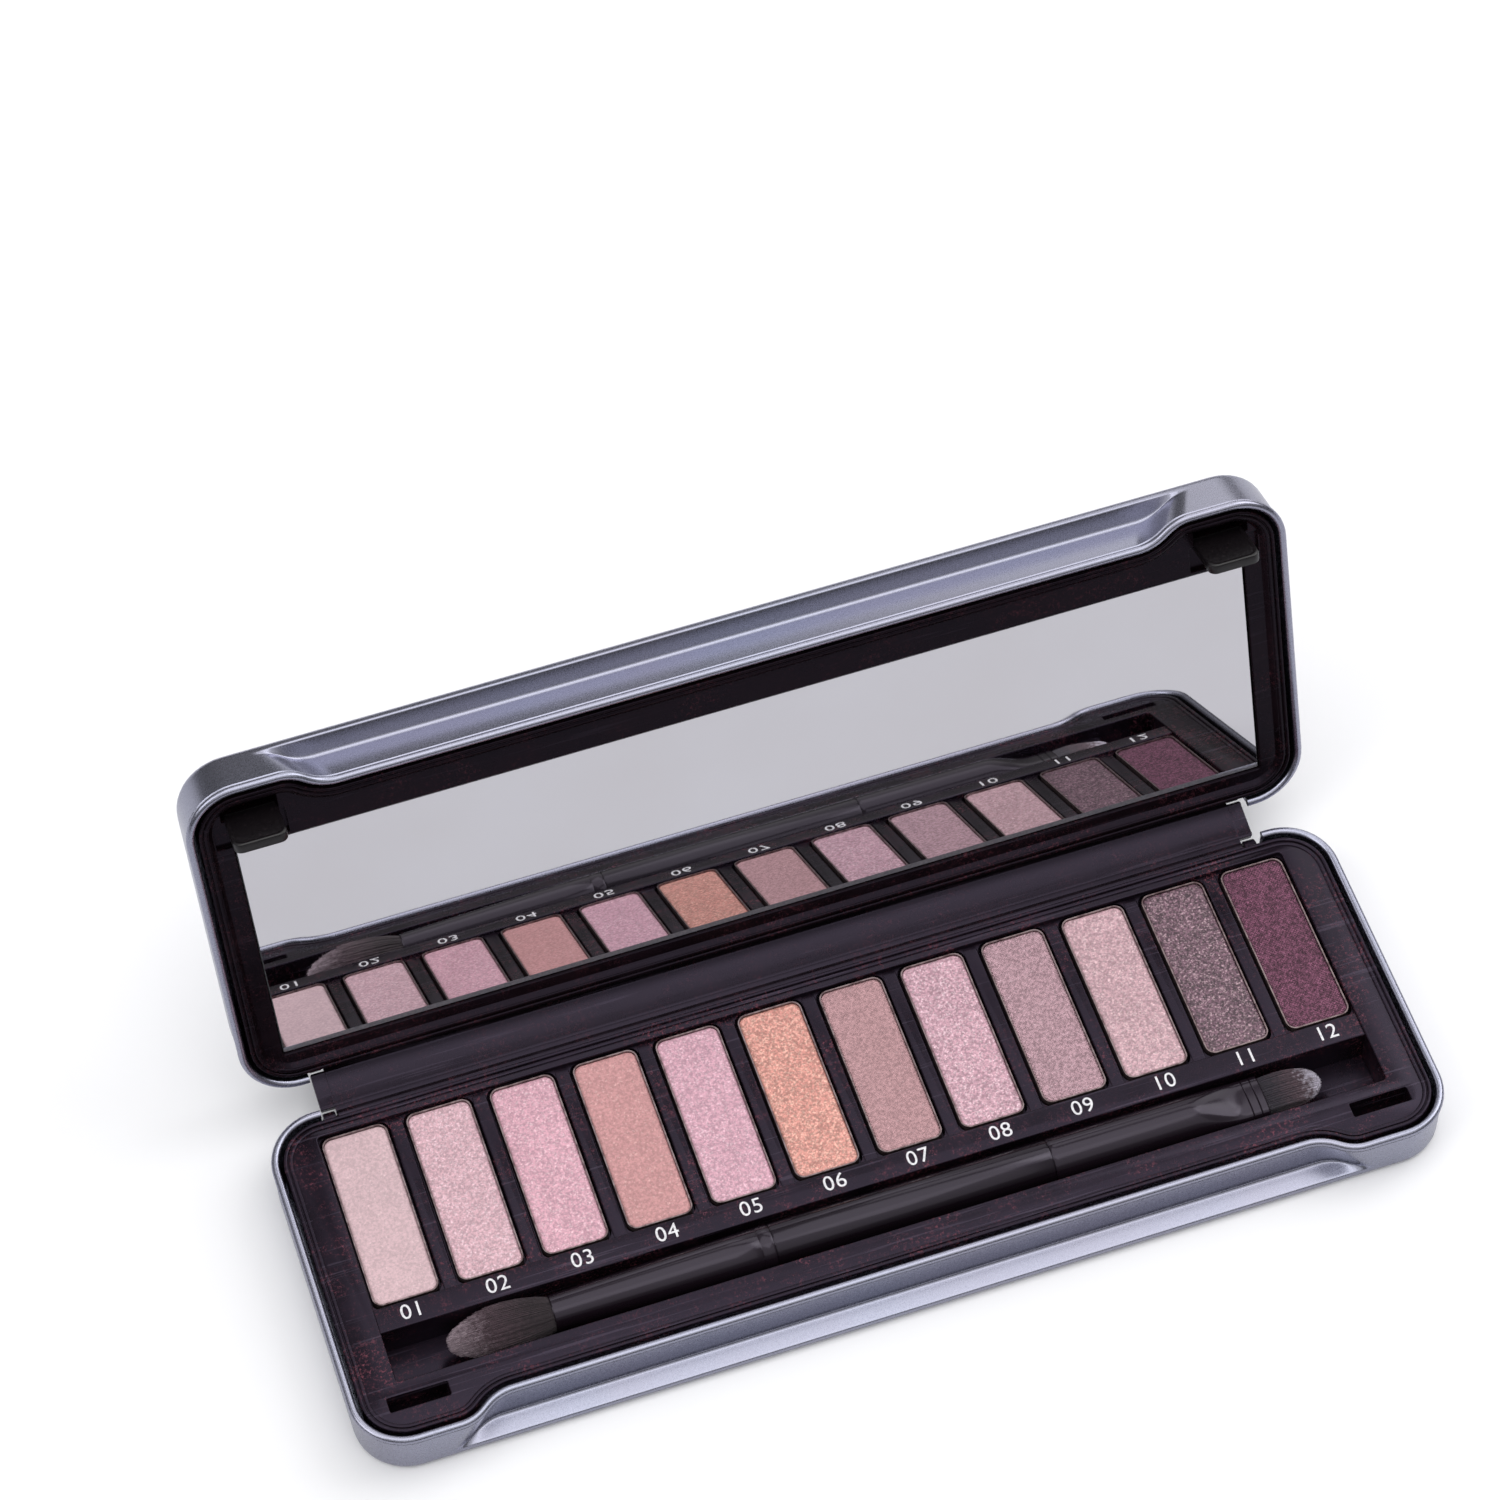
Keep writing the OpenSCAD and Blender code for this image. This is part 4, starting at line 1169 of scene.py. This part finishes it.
roundFibre = fibreTips("dyed_round_fibre", "2c1c24", "5d4650", "b9a6b0", roundLow[0], roundHeadLow[0])
flatFibre = fibreTips("dyed_flat_fibre", "2a2230", "5d4650", "d5cfdd", flatHigh[0], flatHeadHigh[0])
dress(makeHandle(), "brush", [handleLacquer], ["brush_handle"])
dress(makeRoundFerrule(), "brush", [ferruleLacquer], ["round_ferrule"])
dress(makeFlatFerrule(), "brush", [ferruleLacquer], ["flat_ferrule"])
dress(makeRoundHead(), "brush", [roundFibre], ["round_bristles"])
dress(makeFlatHead(), "brush", [flatFibre], ["flat_bristles"])
print("brush made")


stageLook = {"floorHalf": 6.0, "floorColour": "f4f4f6", "floorSeenByObject": "cfcfd4",
             "floorGlow": 0.08,
             "sky": [(0.0, 0.05), (0.2, 0.10), (0.5, 0.28), (0.8, 0.45), (1.0, 0.55)],
             "lamps": {"left_softbox": (10.3, 1.3, (-1.5, -0.1, 1.5)),
                       "right_softbox": (12.3, 1.3, (1.5, 0.3, 1.5)),
                       "front_softbox": (8.0, 2.4, (0.1, -1.3, 2.0)),
                       "top_softbox": (16.8, 2.1, (0.1, 0.15, 2.2)),
                       "back_softbox": (8.0, 1.5, (0.95, 1.5, 1.1))}}   # watts, size, place


def makeFloor():
    # a pale sheet, a little darker in the object's reflections than it is to the camera
    half = stageLook["floorHalf"]
    mesh = bpy.data.meshes.new("floor")
    corners = [(-half, -half, 0), (half, -half, 0), (half, half, 0), (-half, half, 0)]
    mesh.from_pydata(corners, [], [(0, 1, 2, 3)])
    floor = newObject("floor", mesh)
    material, tree, _ = newMaterial("pale_floor")
    seen = add(tree, "LightPath", out="Is Camera Ray")
    mixed = {0: seen, 6: stageLook["floorSeenByObject"], 7: stageLook["floorColour"]}
    finishWith(tree, {
        "Base Color": add(tree, "Mix", mixed, 2, data_type="RGBA"),
        "Roughness": 0.7,
        "Emission Color": stageLook["floorColour"],
        "Emission Strength": stageLook["floorGlow"]})
    mesh.materials.append(material)


def makeSky():
    # a dim room that brightens towards the ceiling, in front of a pale backdrop
    world = bpy.data.worlds.new("studio")
    bpy.context.scene.world = world
    world.use_nodes = True
    tree = world.node_tree
    tree.nodes.clear()
    upward = add(tree, "SeparateXYZ", {"Vector": add(tree, "TexCoord", out="Generated")}, 2)
    sky = add(tree, "ValToRGB", {"Fac": upward}, stops=stageLook["sky"])
    room = add(tree, "Background", {"Color": sky})
    backdrop = add(tree, "Background", {"Color": stageLook["floorColour"]})
    seen = add(tree, "LightPath", out="Is Camera Ray")
    blend = add(tree, "MixShader", {0: seen, 1: room, 2: backdrop})
    add(tree, "OutputWorld", {"Surface": blend}, None)


def makeLamps():
    # square softboxes that all face the origin
    for name, (power, size, place) in stageLook["lamps"].items():
        data = bpy.data.lights.new(name, "AREA")
        data.energy, data.size = power, size
        lamp = newObject(name, data)
        lamp.location = place
        lamp.rotation_euler = (-Vector(place)).to_track_quat("-Z", "Y").to_euler()


# place in mm; heading and downward tilt of the view, and its roll, in degrees; lens in mm
cameraView = {"place": (-143.9, -407.0, 785.5), "heading": 17.16, "down": 56.58, "roll": -1.62,
              "lens": 119.9}


def makeCamera():
    data = bpy.data.cameras.new("camera")
    camera = newObject("camera", data)
    data.lens, data.sensor_width = cameraView["lens"], 36.0
    data.clip_start, data.clip_end = 0.02, 50.0
    heading = Matrix.Rotation(math.radians(-cameraView["heading"]), 4, "Z")
    tilt = Matrix.Rotation(math.radians(90 - cameraView["down"]), 4, "X")
    roll = Matrix.Rotation(math.radians(cameraView["roll"]), 4, "Z")
    camera.matrix_world = Matrix.Translation(Vector(cameraView["place"]) * mm) @ heading @ tilt @ roll
    bpy.context.scene.camera = camera


makeFloor()
makeSky()
makeLamps()
makeCamera()
bpy.context.scene.view_settings.view_transform = "Standard"
print("stage set")
